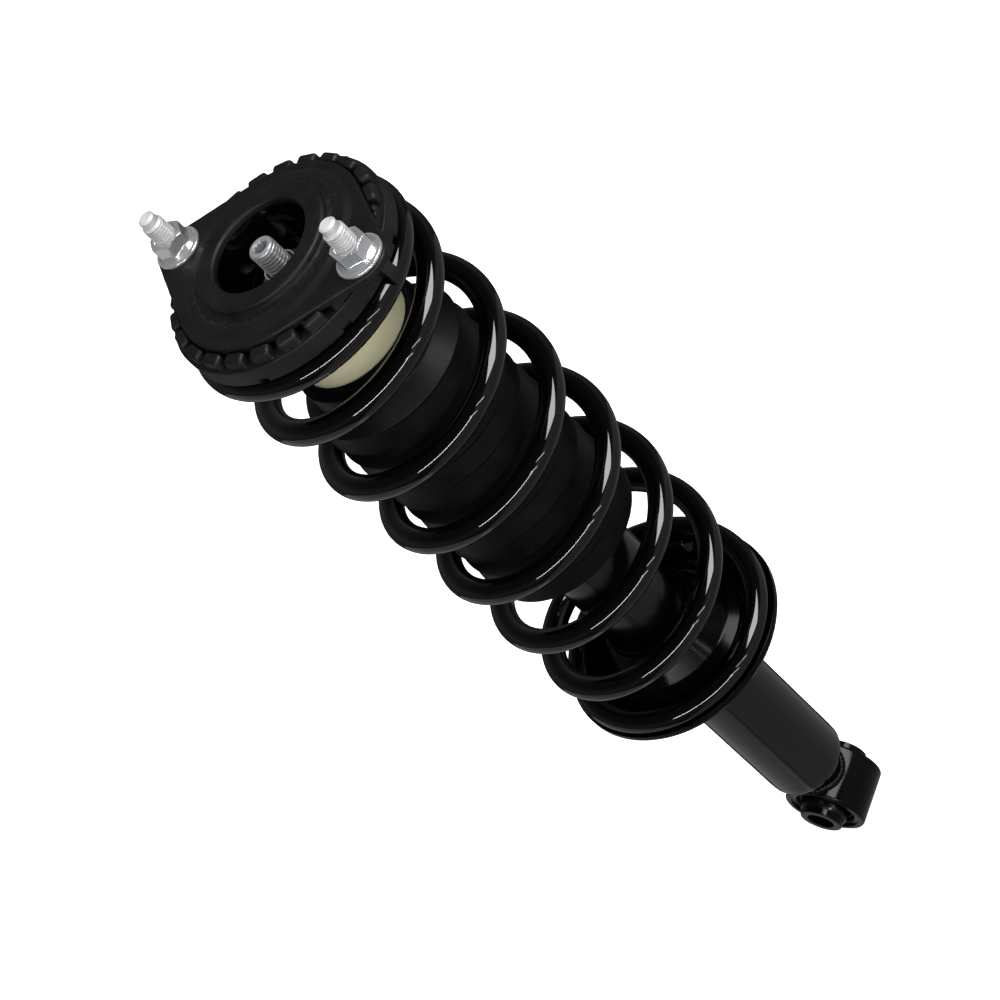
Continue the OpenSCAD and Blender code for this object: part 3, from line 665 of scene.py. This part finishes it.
def make_nuts():
    """Flange nuts: a washer face with a rounded rim, a cone and a chamfered hexagon."""
    bottom, top = level("mount_nuts", 0), level("mount_nuts", 1)
    flange_r, flat_r, bore_r = 10.9, 7.5, STUD_R - 0.55
    hexagon_from = bottom + 3.2
    crown = 8.25
    rows = rounded([(bore_r, bottom + 0.4, 0.3), (bore_r + 1, bottom, 0.3), (flange_r, bottom, 0.5),
                    (flange_r, bottom + 1.5, 0.7), (9.4, bottom + 2.1, 0.8)], closed=False, steps=6)
    rows += [(20, hexagon_from + (top - 0.9 - hexagon_from) * n / 14) for n in range(15)]
    rows += [(20, top - 0.9 + 0.9 * math.sin(a)) for a in np.linspace(0.2, math.pi / 2, 5)]
    rows += rounded([(6.9, top, 0), (5.9, top, 0.3), (5.5, top - 0.9, 0.3), (bore_r, top - 1.2, 0.2),
                     (bore_r, bottom + 2, 0)], closed=False)

    def warp(r, z, a):
        if r < 19:
            return r, z
        side = hexagon(a, flat_r) - 0.22 * max(0.0, hexagon(a, flat_r) / flat_r - 1.12) / 0.035
        top_cone = crown + 1.6 * (top - z)
        low_cone = 8.9 - 0.3 * (z - hexagon_from)
        blend = min(1.0, max(0.0, (z - hexagon_from) / 1.6))
        return min(side + (1 - blend) ** 2 * (low_cone - side) * 0.75, top_cone - 0.9), z

    nut = Shape()
    nut.loft(ring_loops(rows, 180, warp), closed=True)
    for number, (turn, spin) in enumerate(((0, 12), (180, 32))):
        name = f"flange_nut_{number + 1}"
        replaced = ["mount_nuts"] if number == 0 else []
        at_stud(nut, turn, spin).build(name, "top_mount", MATERIALS["zinc_bright"], "zinc_bright", replaced, 30)


# ---------------------------------------------------------------- top plate and its rubber


def plate_outline():
    """Points and outward normals round the plate: two lugs on a disc."""
    tangent = math.degrees(math.acos((PLATE_R - LUG_R) / STUD_RING_R))
    points, normals = [], []

    def arc(centre, radius, first, last, count):
        for a in np.linspace(first, last, count):
            n = polar(1, a, 0)[:2]
            points.append(centre + radius * n)
            normals.append(n)

    def straight(count):
        before, ahead = points[-2], points[-1]
        del points[-1]
        normal = normals.pop()
        for t in np.linspace(0, 1, count + 2)[1:]:
            points.append(before + (ahead - before) * t)
            normals.append(normal)

    for turn in (0, 180):
        middle = STUD_ANGLE + turn
        hub = polar(STUD_RING_R, middle, 0)[:2]
        arc(hub, LUG_R, middle - tangent, middle + tangent, 33)
        arc(np.zeros(2), PLATE_R, middle + tangent, middle + tangent + 0.001, 1)
        straight(16)
        arc(np.zeros(2), PLATE_R, middle + tangent + 1.2, middle + 180 - tangent, 66)
        far_hub = polar(STUD_RING_R, middle + 180, 0)[:2]
        arc(far_hub, LUG_R, middle + 180 - tangent, middle + 180 - tangent + 0.001, 1)
        straight(16)
        del points[-1]
        del normals[-1]
    return np.array(points), np.array(normals)


def inside_plate(x, y, grow=0.0):
    """Whether a point lies under the plate's outline, grown outwards."""
    big, small = PLATE_R + grow, LUG_R + grow
    a = math.radians(STUD_ANGLE)
    along = abs(x * math.cos(a) + y * math.sin(a))
    across = abs(-x * math.sin(a) + y * math.cos(a))
    if math.hypot(along, across) < big or math.hypot(along - STUD_RING_R, across) < small:
        return True
    lean = (big - small) / STUD_RING_R
    upright = math.sqrt(1 - lean * lean)
    run = -along * -upright - across * lean
    inside = along * lean + across * upright < big
    return inside and 0 < run < STUD_RING_R * upright


def make_plate():
    """Pressed plate with a rolled-off sheared edge, a sloped step and a downturned wall."""
    base, normals = plate_outline()
    azimuths = np.arctan2(base[:, 1], base[:, 0])
    roll, burr = 1.1, 0.35
    steps = np.linspace(0, math.pi / 2, 5)
    loops = []

    def edge_loop(grow, z, rough):
        loop = []
        for (x, y), (nx, ny) in zip(base, normals):
            jag = rough * (wobble(x, y, z, 0.9, 1.7) + 0.6 * wobble(x, y, z, 3, 5.2))
            loop.append((x + (grow + jag) * nx, y + (grow + jag) * ny, z + 0.6 * jag))
        loops.append(loop)

    def round_loop(radius, z, rough=0.0):
        loop = []
        for a in azimuths:
            x, y = radius * math.cos(a), radius * math.sin(a)
            jag = rough * wobble(x, y, z, 1.5, 2.3)
            loop.append((x, y, z + jag))
        loops.append(loop)

    round_loop(HOUSING_OUTER_R, PLATE_BOTTOM)
    edge_loop(-4, PLATE_BOTTOM, 0)
    for a in steps:
        edge_loop(-burr * (1 - math.sin(a)), PLATE_BOTTOM + burr * (1 - math.cos(a)), 0.08)
    for a in steps:
        edge_loop(-roll * (1 - math.cos(a)), PLATE_FACE - roll * (1 - math.sin(a)), 0.09)
    edge_loop(-2.4, PLATE_FACE, 0.02)
    edge_loop(-4.2, PLATE_FACE, 0)
    round_loop(STEP_R + 0.35, PLATE_FACE)
    round_loop(STEP_R - 0.2, PLATE_FACE + 0.15, 0.05)
    round_loop(STEP_R - 2.5, STEP_TOP - 0.15, 0.08)
    round_loop(STEP_R - 3, STEP_TOP, 0.05)
    round_loop(HOUSING_R + 0.5, STEP_TOP)
    round_loop(HOUSING_R, STEP_TOP - 0.5)
    round_loop(HOUSING_R, HOUSING_BOTTOM)
    round_loop(HOUSING_OUTER_R, HOUSING_BOTTOM)
    shape = Shape()
    shape.loft(loops, closed=True)
    shape.build("top_plate", "top_mount", MATERIALS["plate_black"], "plate_black", ["mount_plate"], 45)


def make_mount_rubber():
    """Rubber ring with a ridge, and a ragged skin of flash spread over the plate's step."""
    low = level("mount_rubber", 0)
    cup_r = RECESS_R - 0.3 + 1.8
    skin_top = STEP_TOP + 0.22
    corners = [
        (cup_r, low + 6, 0.5), (cup_r + 1, low + 3, 1), (HOUSING_R - 4, low + 3, 1), (HOUSING_R, low, 0.5),
        (HOUSING_R, STEP_TOP - 0.3, 0), (35.6, STEP_TOP + 0.02, 0), (35.6, skin_top - 0.05, 0.05),
        (RIDGE_R + 1.6, skin_top, 0.3), (RIDGE_R + 0.1, STEP_TOP + 0.9, 0.5), (RIDGE_R, RIDGE_TOP, 1.5),
        (RECESS_R, RIDGE_TOP, 1.6), (RECESS_R, PLATE_FACE + 2.5, 0.4), (cup_r, PLATE_FACE + 2.5, 0),
    ]

    def flash(r, z, a):
        if r < RIDGE_R - 3 or z < STEP_TOP - 0.1:
            return r, z
        x, y = math.cos(a), math.sin(a)
        rag = wobble(22 * x, 22 * y, 0, 2.1, 0.4) + 0.7 * wobble(22 * x, 22 * y, 0, 6.5, 4.4)
        if r > RIDGE_R + 1:
            return r + 1.1 * rag, z + 0.05 * wobble(r * x, r * y, z, 1.3, 7.7)
        return r + 0.05 * rag, z + 0.05 * rag

    shape = lathe(corners, 720, flash, steps=5)
    shape.build("mount_rubber_ring", "top_mount", MATERIALS["rubber"], "rubber", ["mount_rubber"], 45)


# ---------------------------------------------------------------- upper insulator

BLOCKS = 24
BLOCK_START = 7.5
BLOCK_WIDTH = 9.4
LEDGE_DROP = 1.2
BLOCK_HEIGHT = 3.9
NOTCHES = 8
NOTCH_START = 16
NOTCH_WIDTH = 4.2
NOTCH_HEIGHT = 2.4
TAB_ANGLE = STUD_ANGLE + 184.5
TAB_WIDTH = 5.8


def bar(profile, width, round_off, place, fit=None):
    """A closed profile of (out, up) points swept across a width, with rounded ends."""
    centre = np.mean(profile, axis=0)
    ends = [(0.5 * width - round_off * (1 - math.sin(a)), round_off * (1 - math.cos(a)))
            for a in np.linspace(math.pi / 2, 0, 5)]
    stations = [(-t, cut) for t, cut in ends]
    stations += [(t, 0.0) for t in np.linspace(-0.5 * width + round_off, 0.5 * width - round_off, 9)[1:-1]]
    stations += [(t, cut) for t, cut in reversed(ends)]
    loops = []
    for across, cut in stations:
        loop = []
        for p in profile:
            gap = centre - p
            out, up = p + gap / np.linalg.norm(gap) * cut
            point = place(out, across, up)
            loop.append(fit(point) if fit else point)
        loops.append(loop)
    shape = Shape()
    shape.loft(loops, capped=True)
    return shape


def frame_at(degrees):
    """Maps (out, across, up) at that direction to X, Y, Z."""
    a = math.radians(degrees)

    def place(out, across, up):
        return (
            out * math.cos(a) - across * math.sin(a),
            out * math.sin(a) + across * math.cos(a),
            up,
        )

    return place


def make_insulator():
    """Rubber ring round the pan's edge, with radial blocks, edge notches and a tab."""
    flap_r, pan_r = PLATE_R + 0.5, BAND_R - 4
    pan_top, pan_bottom = BAND_TOP - 1.5, BAND_TOP - 4.5
    lip_in, lip_out = HOUSING_OUTER_R + 2.8, SPRING_R - 2 * WIRE_R - 0.5
    lip_low = COIL_CEILING - 12
    ledge = BAND_TOP - LEDGE_DROP
    notch_rows = [(BAND_R, COIL_CEILING + 0.5), (BAND_R, COIL_CEILING + NOTCH_HEIGHT - 0.05),
                  (BAND_R, COIL_CEILING + NOTCH_HEIGHT + 0.3)]
    start = rounded([(pan_r, pan_bottom, 0), (lip_in, pan_bottom, 0.3), (lip_in, lip_low, 0.5),
                     (lip_out, lip_low, 1.2), (lip_out, COIL_CEILING, 0.5), (BAND_R - 0.6, COIL_CEILING, 0)],
                    closed=False)
    end = rounded([(BAND_R, ledge - 1.5, 0), (BAND_R, ledge, 0.8), (flap_r, ledge, 0.3),
                   (flap_r, pan_top - 0.2, 0.1), (pan_r, pan_top - 0.2, 0)], closed=False)

    def cut_notches(r, z, a):
        away = (math.degrees(a) - NOTCH_START + 180 / NOTCHES) % (360 / NOTCHES) - 180 / NOTCHES
        in_notch = abs(math.radians(away)) * BAND_R < NOTCH_WIDTH / 2
        if in_notch and r > BAND_R - 1 and z < COIL_CEILING + NOTCH_HEIGHT:
            return BAND_R - 2.2, z
        x, y = BAND_R * math.cos(a), BAND_R * math.sin(a)
        if r > BAND_R - 2:
            lump = wobble(x, y, z, 14, 2.2) + 0.5 * wobble(x, y, z, 4, 6.1)
            return r + 0.16 * lump, z + 0.10 * lump
        return r, z

    ring = Shape()
    ring.loft(ring_loops(start + notch_rows + end, 900, cut_notches), closed=True)
    material = MATERIALS["rubber"]
    ring.build("insulator_ring", "top_mount", material, "rubber", ["upper_insulator"], 50)

    outer, top = BAND_R - 1.4, BAND_TOP + BLOCK_HEIGHT
    profile = np.array(rounded([(flap_r - 1, ledge - 1, 0), (outer + 0.4, ledge - 1, 0),
                                (outer, ledge + 0.2, 0.6), (outer - 0.3, top, 1.9), (flap_r + 0.1, top, 1.1),
                                (flap_r - 0.1, ledge, 0.3)]))

    def under_plate(point):
        x, y, z = point
        if inside_plate(x, y, 0.4):
            return (x, y, min(z, PLATE_BOTTOM - 0.3))
        return point

    blocks = Shape()
    for n in range(BLOCKS):
        one = bar(profile, BLOCK_WIDTH, 1.6, frame_at(BLOCK_START + n * 360 / BLOCKS), under_plate)
        first = len(blocks.points)
        blocks.points += one.points
        blocks.faces += [tuple(i + first for i in face) for face in one.faces]
    blocks.build("insulator_blocks", "top_mount", material, "rubber", [], 60)

    tab_in, tab_out, tab_low = SPRING_R + 0.35, SPRING_R + 1.5, COIL_CEILING - 5.5
    outline = np.array(rounded([(BAND_R - 1, COIL_CEILING + 1.6, 0), (tab_in, COIL_CEILING - 1, 1),
                                (tab_in, tab_low, 0.3), (tab_out, tab_low, 0.5),
                                (tab_out, COIL_CEILING - 0.4, 2),
                                (BAND_R + 1, BAND_TOP - 2, 1.5), (BAND_R - 1, BAND_TOP - 1.6, 0)]))
    tab = bar(outline, TAB_WIDTH, 0.3, frame_at(TAB_ANGLE))
    tab.build("insulator_tab", "top_mount", material, "rubber", [], 50)


# ---------------------------------------------------------------- lower seat, tube, eye


def make_lower_seat():
    """Stamped dish: an upturned lip, the spring's groove, a step, a cone and a hub."""
    sheet, hub_r = 3, TUBE_R + 2.6
    inner_r = SPRING_R - 2 * WIRE_R - 0.9
    step_r = inner_r - 2.5
    g, top = SEAT_GROOVE, SEAT_TOP
    cone = top - 5
    corners = [
        (TUBE_R, top - 0.8, 0), (TUBE_R + 0.5, top, 0.3), (hub_r - 0.3, top, 0.7), (hub_r, top - 2, 0.4),
        (hub_r + 0.4, cone, 1.6), (hub_r + 3, cone - 3, 3), (step_r - 6, g + 9, 3), (step_r - 1, g + 6, 1.8),
        (inner_r, g + 0.2, 2), (SEAT_RIM_R - 3.2, g, 4), (SEAT_RIM_R - 0.9, g + 2.6, 2),
        (SEAT_RIM_R - 0.8, g + 4.2, 0.4), (SEAT_RIM_R, g + 4.2, 0.4), (SEAT_RIM_R, g + 1, 1.5),
        (SEAT_RIM_R - 1.8, g - 1.9, 2.5), (SEAT_RIM_R - 5, g - sheet, 2), (inner_r - 1.8, g - sheet, 1.5),
        (step_r - 1.8, g + 2.4, 1.5), (step_r - 7, g + 8.6 - sheet, 3), (hub_r + 1.4, cone - 3 - sheet, 1.5),
        (TUBE_R, cone - 6 - sheet, 0),
    ]
    lathe(corners, 256, steps=7).build(
        "lower_dish", "damper_tube", MATERIALS["dish_black"], "gloss_black", ["lower_spring_seat"], 50)


def make_tube():
    """Reserve tube with its rolled ends and the fine line of its seam."""
    inner_r, seam_angle, seam_half, seam_depth = TUBE_R - 1.8, math.radians(219), 0.3, 0.4
    roll_in = ROD_R + 5
    corners = [
        (inner_r, TUBE_BOTTOM, 0), (TUBE_R - 0.2, TUBE_BOTTOM, 1.1), (TUBE_R, TUBE_BOTTOM + 5, 0),
        (TUBE_R, TUBE_BOTTOM + 60, 0), (TUBE_R, TUBE_TOP - 3, 0), (TUBE_R, TUBE_TOP, 1.6),
        (roll_in, TUBE_TOP, 0.5), (roll_in, TUBE_TOP - 2, 0), (inner_r, TUBE_TOP - 2, 0),
    ]

    def seam(r, z, a):
        away = abs((a - seam_angle + math.pi) % TAU - math.pi) * TUBE_R
        if r > TUBE_R - 0.5 and away < seam_half:
            return r - seam_depth, z
        return r, z

    lathe(corners, 720, seam).build(
        "reserve_tube", "damper_tube", MATERIALS["black_paint"], "black_paint", ["outer_tube"], 50)


def make_eye():
    """Forged-looking eye ring with soft edges, its bonded rubber and the plain sleeve."""
    half, inner = reach("lower_eye"), EYE_R - 3.5

    def dents(r, x, a):
        lump = wobble(EYE_R * math.cos(a), EYE_R * math.sin(a), x, 7, 9.4)
        return r + (0.13 * lump if r > inner + 1 else 0), x + 0.08 * lump * np.sign(x)

    corners = [(inner, -half, 0.4), (EYE_R, -half, 1.5), (EYE_R, 0, 0), (EYE_R, half, 1.5), (inner, half, 0.4)]
    ring = lathe(corners, 256, dents, "x", 7)
    ring.build("eye_ring", "damper_tube", MATERIALS["eye_black"], "gloss_black", ["lower_eye"], 55)

    shell_r = inner - 1.2
    sleeve_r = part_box("bush_sleeve")[1].z / MM
    foot, tip = half - 1.5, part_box("bush_rubber")[1].x / MM
    bore = sleeve_r + 0.05
    middle = (bore + shell_r) / 2
    face = [(shell_r, foot, 0), (shell_r - 0.9, foot + 0.15, 0.5), (middle + 1.3, foot - 1.6, 0.8),
            (middle + 0.5, foot - 3.2, 0.7), (middle - 0.4, foot - 2.0, 0.5), (bore + 1.9, foot - 0.9, 0.7),
            (bore + 1.25, tip - 1.4, 0.8), (bore + 0.7, tip, 0.5), (bore, tip, 0)]
    corners = face + [(r, -x, f) for r, x, f in reversed(face)]

    def ripple(r, x, a):
        if abs(x) < foot - 5:
            return r, x
        lump = wobble(r * math.cos(a), r * math.sin(a), x, 2.6, 5.5)
        return r, x + 0.09 * lump * np.sign(x)

    lathe(corners, 240, ripple, "x", 6).build(
        "bonded_rubber", "damper_tube", MATERIALS["greasy"], "rubber", ["bush_rubber"], 55)

    end, bore_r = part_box("bush_sleeve")[1].x / MM, 7.1
    corners = [(bore_r, -end, 0.5), (sleeve_r, -end, 0.6), (sleeve_r, end, 0.6), (bore_r, end, 0.5)]
    lathe(corners, 160, None, "x").build(
        "bush_inner_sleeve", "bush_sleeve", MATERIALS["eye_black"], "gloss_black", ["bush_sleeve"], 45)


def make_weld():
    """Rippled fillet weld along the saddle where the neck meets the eye."""
    neck_r, bead, ripples, segments, sides = 13.4, 2.5, 46, 368, 18
    loops = []
    for n in range(segments):
        a = TAU * n / segments
        y = neck_r * math.sin(a)
        centre = np.array((neck_r * math.cos(a), y, math.sqrt(EYE_R ** 2 - y ** 2) + 0.1))
        out = np.array((math.cos(a), math.sin(a), 0))
        up = np.array((0, 0, 1.0))
        ripple = abs(math.sin(ripples * a / 2 + 0.4 * math.sin(3 * a)))
        size = bead * (0.9 + 0.12 * ripple + 0.14 * wobble(centre[0], centre[1], 0, 5, 3.3))
        loop = []
        for j in range(sides):
            b = TAU * j / sides
            loop.append(centre + size * (1.15 * math.cos(b) * out + math.sin(b) * up))
        loops.append(loop)
    shape = Shape()
    shape.loft(loops, closed=True)
    shape.build("weld_bead", "damper_tube", MATERIALS["eye_black"], "gloss_black", ["eye_weld"], 60)


# ---------------------------------------------------------------- carried-over CAD nodes


def dress_nodes():
    """Gives each CAD node that stays its slot's material, or a darker one for the rod nut."""
    for node, obj in frame["nodes"].items():
        if obj.hide_render:
            continue
        slot = SLOTS.get(node, "steel")
        obj.data.materials.clear()
        look = "nut_dark" if node == "rod_nut" else slot
        obj.data.materials.append(MATERIALS[look])
        obj.data.shade_smooth()
        obj.data.set_sharp_from_angle(angle=math.radians(30))


# ---------------------------------------------------------------- camera, light and stage

CAMERA_PLACE = Vector((-0.4618, -0.8080, 1.1106))
CAMERA_HEADING = -29.75
CAMERA_PITCH = 40.97
CAMERA_YAW = 0.426
CAMERA_ROLL = 46.8
CAMERA_LENS = 98.83


def turned(vector, degrees):
    return Matrix.Rotation(math.radians(degrees), 3, "Z") @ Vector(vector)


def make_camera():
    pitch, yaw, roll = (math.radians(v) for v in (CAMERA_PITCH, CAMERA_YAW, CAMERA_ROLL))
    ahead = Vector((0, math.cos(pitch), -math.sin(pitch)))
    right = Vector((1, 0, 0))
    up = Vector((0, math.sin(pitch), math.cos(pitch)))
    look = math.cos(yaw) * ahead - math.sin(yaw) * right
    side = math.cos(yaw) * right + math.sin(yaw) * ahead
    axes = (
        math.cos(roll) * side - math.sin(roll) * up,
        math.sin(roll) * side + math.cos(roll) * up,
        -look,
    )
    axes = [turned(a, CAMERA_HEADING) for a in axes]
    data = bpy.data.cameras.new("camera")
    data.lens = CAMERA_LENS
    data.sensor_width = 36
    data.clip_end = 50
    camera = bpy.data.objects.new("camera", data)
    bpy.context.scene.collection.objects.link(camera)
    camera.matrix_world = Matrix.Translation(CAMERA_PLACE) @ Matrix(axes).transposed().to_4x4()
    bpy.context.scene.camera = camera


def area_light(name, azimuth, elevation, width, height, power, distance=1.8, glossy=True, diffuse=True, spin=0):
    """A softbox that faces the strut's middle. Azimuth is measured from +X."""
    middle = Vector((0, 0, 0.25))
    a, e = math.radians(azimuth), math.radians(elevation)
    away = Vector((math.cos(a) * math.cos(e), math.sin(a) * math.cos(e), math.sin(e)))
    data = bpy.data.lights.new(name, "AREA")
    data.shape = "RECTANGLE"
    data.size, data.size_y = width, height
    data.energy = power
    light = bpy.data.objects.new(name, data)
    bpy.context.scene.collection.objects.link(light)
    light.rotation_mode = "QUATERNION"
    aim = (-away).to_track_quat("-Z", "Y").to_matrix().to_4x4()
    spun = aim @ Matrix.Rotation(math.radians(spin), 4, "Z")
    light.matrix_world = Matrix.Translation(middle + away * distance) @ spun
    light.visible_camera = False
    light.visible_glossy = glossy
    light.visible_diffuse = diffuse
    return light


def make_lights():
    area_light("key_overhead", 60, 80, 2.6, 2.6, 55, 2.4, glossy=False)
    area_light("fill_front", -120, 35, 2.2, 1.6, 30, 2.2, glossy=False)
    area_light("long_strip", -143, 20, 2.1, 0.06, 20, diffuse=False)
    area_light("side_box", -58, 45, 1.25, 0.8, 34, diffuse=False, spin=45)
    area_light("dash_one", -98, 19, 0.035, 0.85, 1.9, diffuse=False, spin=25)
    area_light("dash_two", -109, 15, 0.035, 0.75, 1.6, diffuse=False, spin=25)


# Soft panels below the horizon: azimuth, cosines where each starts and is full, strength.
GLOW_ELEVATION = -41
GLOWS = ((-75, 0.385, 0.40, 0.24), (140, 0.835, 0.845, 0.36))


def make_world():
    """A dim studio, a little brighter towards the horizon, that the gloss mirrors."""
    world = bpy.data.worlds.new("studio")
    bpy.context.scene.world = world
    world.use_nodes = True
    tree = world.node_tree
    place = tree.nodes.new("ShaderNodeTexCoord")
    split = tree.nodes.new("ShaderNodeSeparateXYZ")
    ramp = tree.nodes.new("ShaderNodeValToRGB")
    shift = tree.nodes.new("ShaderNodeMapRange")
    shift.inputs["From Min"].default_value = -1
    tree.links.new(place.outputs["Generated"], split.inputs["Vector"])
    tree.links.new(split.outputs["Z"], shift.inputs["Value"])
    tree.links.new(shift.outputs["Result"], ramp.inputs["Fac"])
    total = ramp.outputs["Color"]
    for azimuth, low, high, strength in GLOWS:
        a, e = math.radians(azimuth), math.radians(GLOW_ELEVATION)
        toward = tree.nodes.new("ShaderNodeVectorMath")
        toward.operation = "DOT_PRODUCT"
        toward.inputs[1].default_value = (math.cos(a) * math.cos(e), math.sin(a) * math.cos(e), math.sin(e))
        tree.links.new(place.outputs["Generated"], toward.inputs[0])
        glow = tree.nodes.new("ShaderNodeMapRange")
        glow.inputs["From Min"].default_value = low
        glow.inputs["From Max"].default_value = high
        glow.inputs["To Max"].default_value = strength
        tree.links.new(toward.outputs["Value"], glow.inputs["Value"])
        added = tree.nodes.new("ShaderNodeVectorMath")
        added.operation = "ADD"
        tree.links.new(total, added.inputs[0])
        tree.links.new(glow.outputs["Result"], added.inputs[1])
        total = added.outputs["Vector"]
    tree.links.new(total, tree.nodes["Background"].inputs["Color"])
    tones = ((0.0, 0.03), (0.38, 0.06), (0.56, 0.15), (0.75, 0.05), (1.0, 0.03))
    while len(ramp.color_ramp.elements) < len(tones):
        ramp.color_ramp.elements.new(0.5)
    for element, (where, tone) in zip(ramp.color_ramp.elements, tones):
        element.position = where
        element.color = (tone, tone, tone, 1)


def make_stage():
    """A pale floor that rises into a dome. It only shows: gloss and shade take the studio instead."""
    floor_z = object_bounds()[0].z / MM
    shape = Shape()
    flat, bend = 2600, 1400
    dome = flat + bend
    profile = [(1, floor_z), (600, floor_z), (flat, floor_z)]
    for a in np.linspace(0.1, 1.5, 12):
        profile.append((flat + bend * math.sin(a), floor_z + bend * (1 - math.cos(a))))
    profile += [(dome * math.cos(a), floor_z + bend + dome * math.sin(a)) for a in np.linspace(0.1, 1.5, 14)]
    shape.loft(ring_loops(profile, 96), capped=True)
    mesh = bpy.data.meshes.new("stage")
    mesh.from_pydata([tuple(c * MM for c in p) for p in shape.points], [], shape.faces)
    work = bmesh.new()
    work.from_mesh(mesh)
    bmesh.ops.recalc_face_normals(work, faces=work.faces)
    bmesh.ops.reverse_faces(work, faces=work.faces)
    work.to_mesh(mesh)
    work.free()
    stage = bpy.data.objects.new("stage", mesh)
    bpy.context.scene.collection.objects.link(stage)
    n = Nodes("stage_white")
    tone = n.mix(n.spread(n.noise(3, 2), 0, 1), (0.86, 0.86, 0.86), (0.88, 0.88, 0.88))
    n.link(tone, n.shader.inputs["Base Color"])
    n.link(tone, n.shader.inputs["Emission Color"])
    n.shader.inputs["Roughness"].default_value = 0.9
    n.shader.inputs["Specular IOR Level"].default_value = 0.1
    n.shader.inputs["Emission Strength"].default_value = 1.15
    mesh.materials.append(n.material)
    stage.visible_glossy = False
    stage.visible_diffuse = False


make_camera()
make_spring()
make_boot()
make_bump_stop()
make_rod()
make_nut_collar()
make_studs()
make_nuts()
make_plate()
make_mount_rubber()
make_insulator()
make_lower_seat()
make_tube()
make_eye()
make_weld()
dress_nodes()
make_world()
make_lights()
make_stage()
bpy.context.scene.view_settings.view_transform = "Standard"
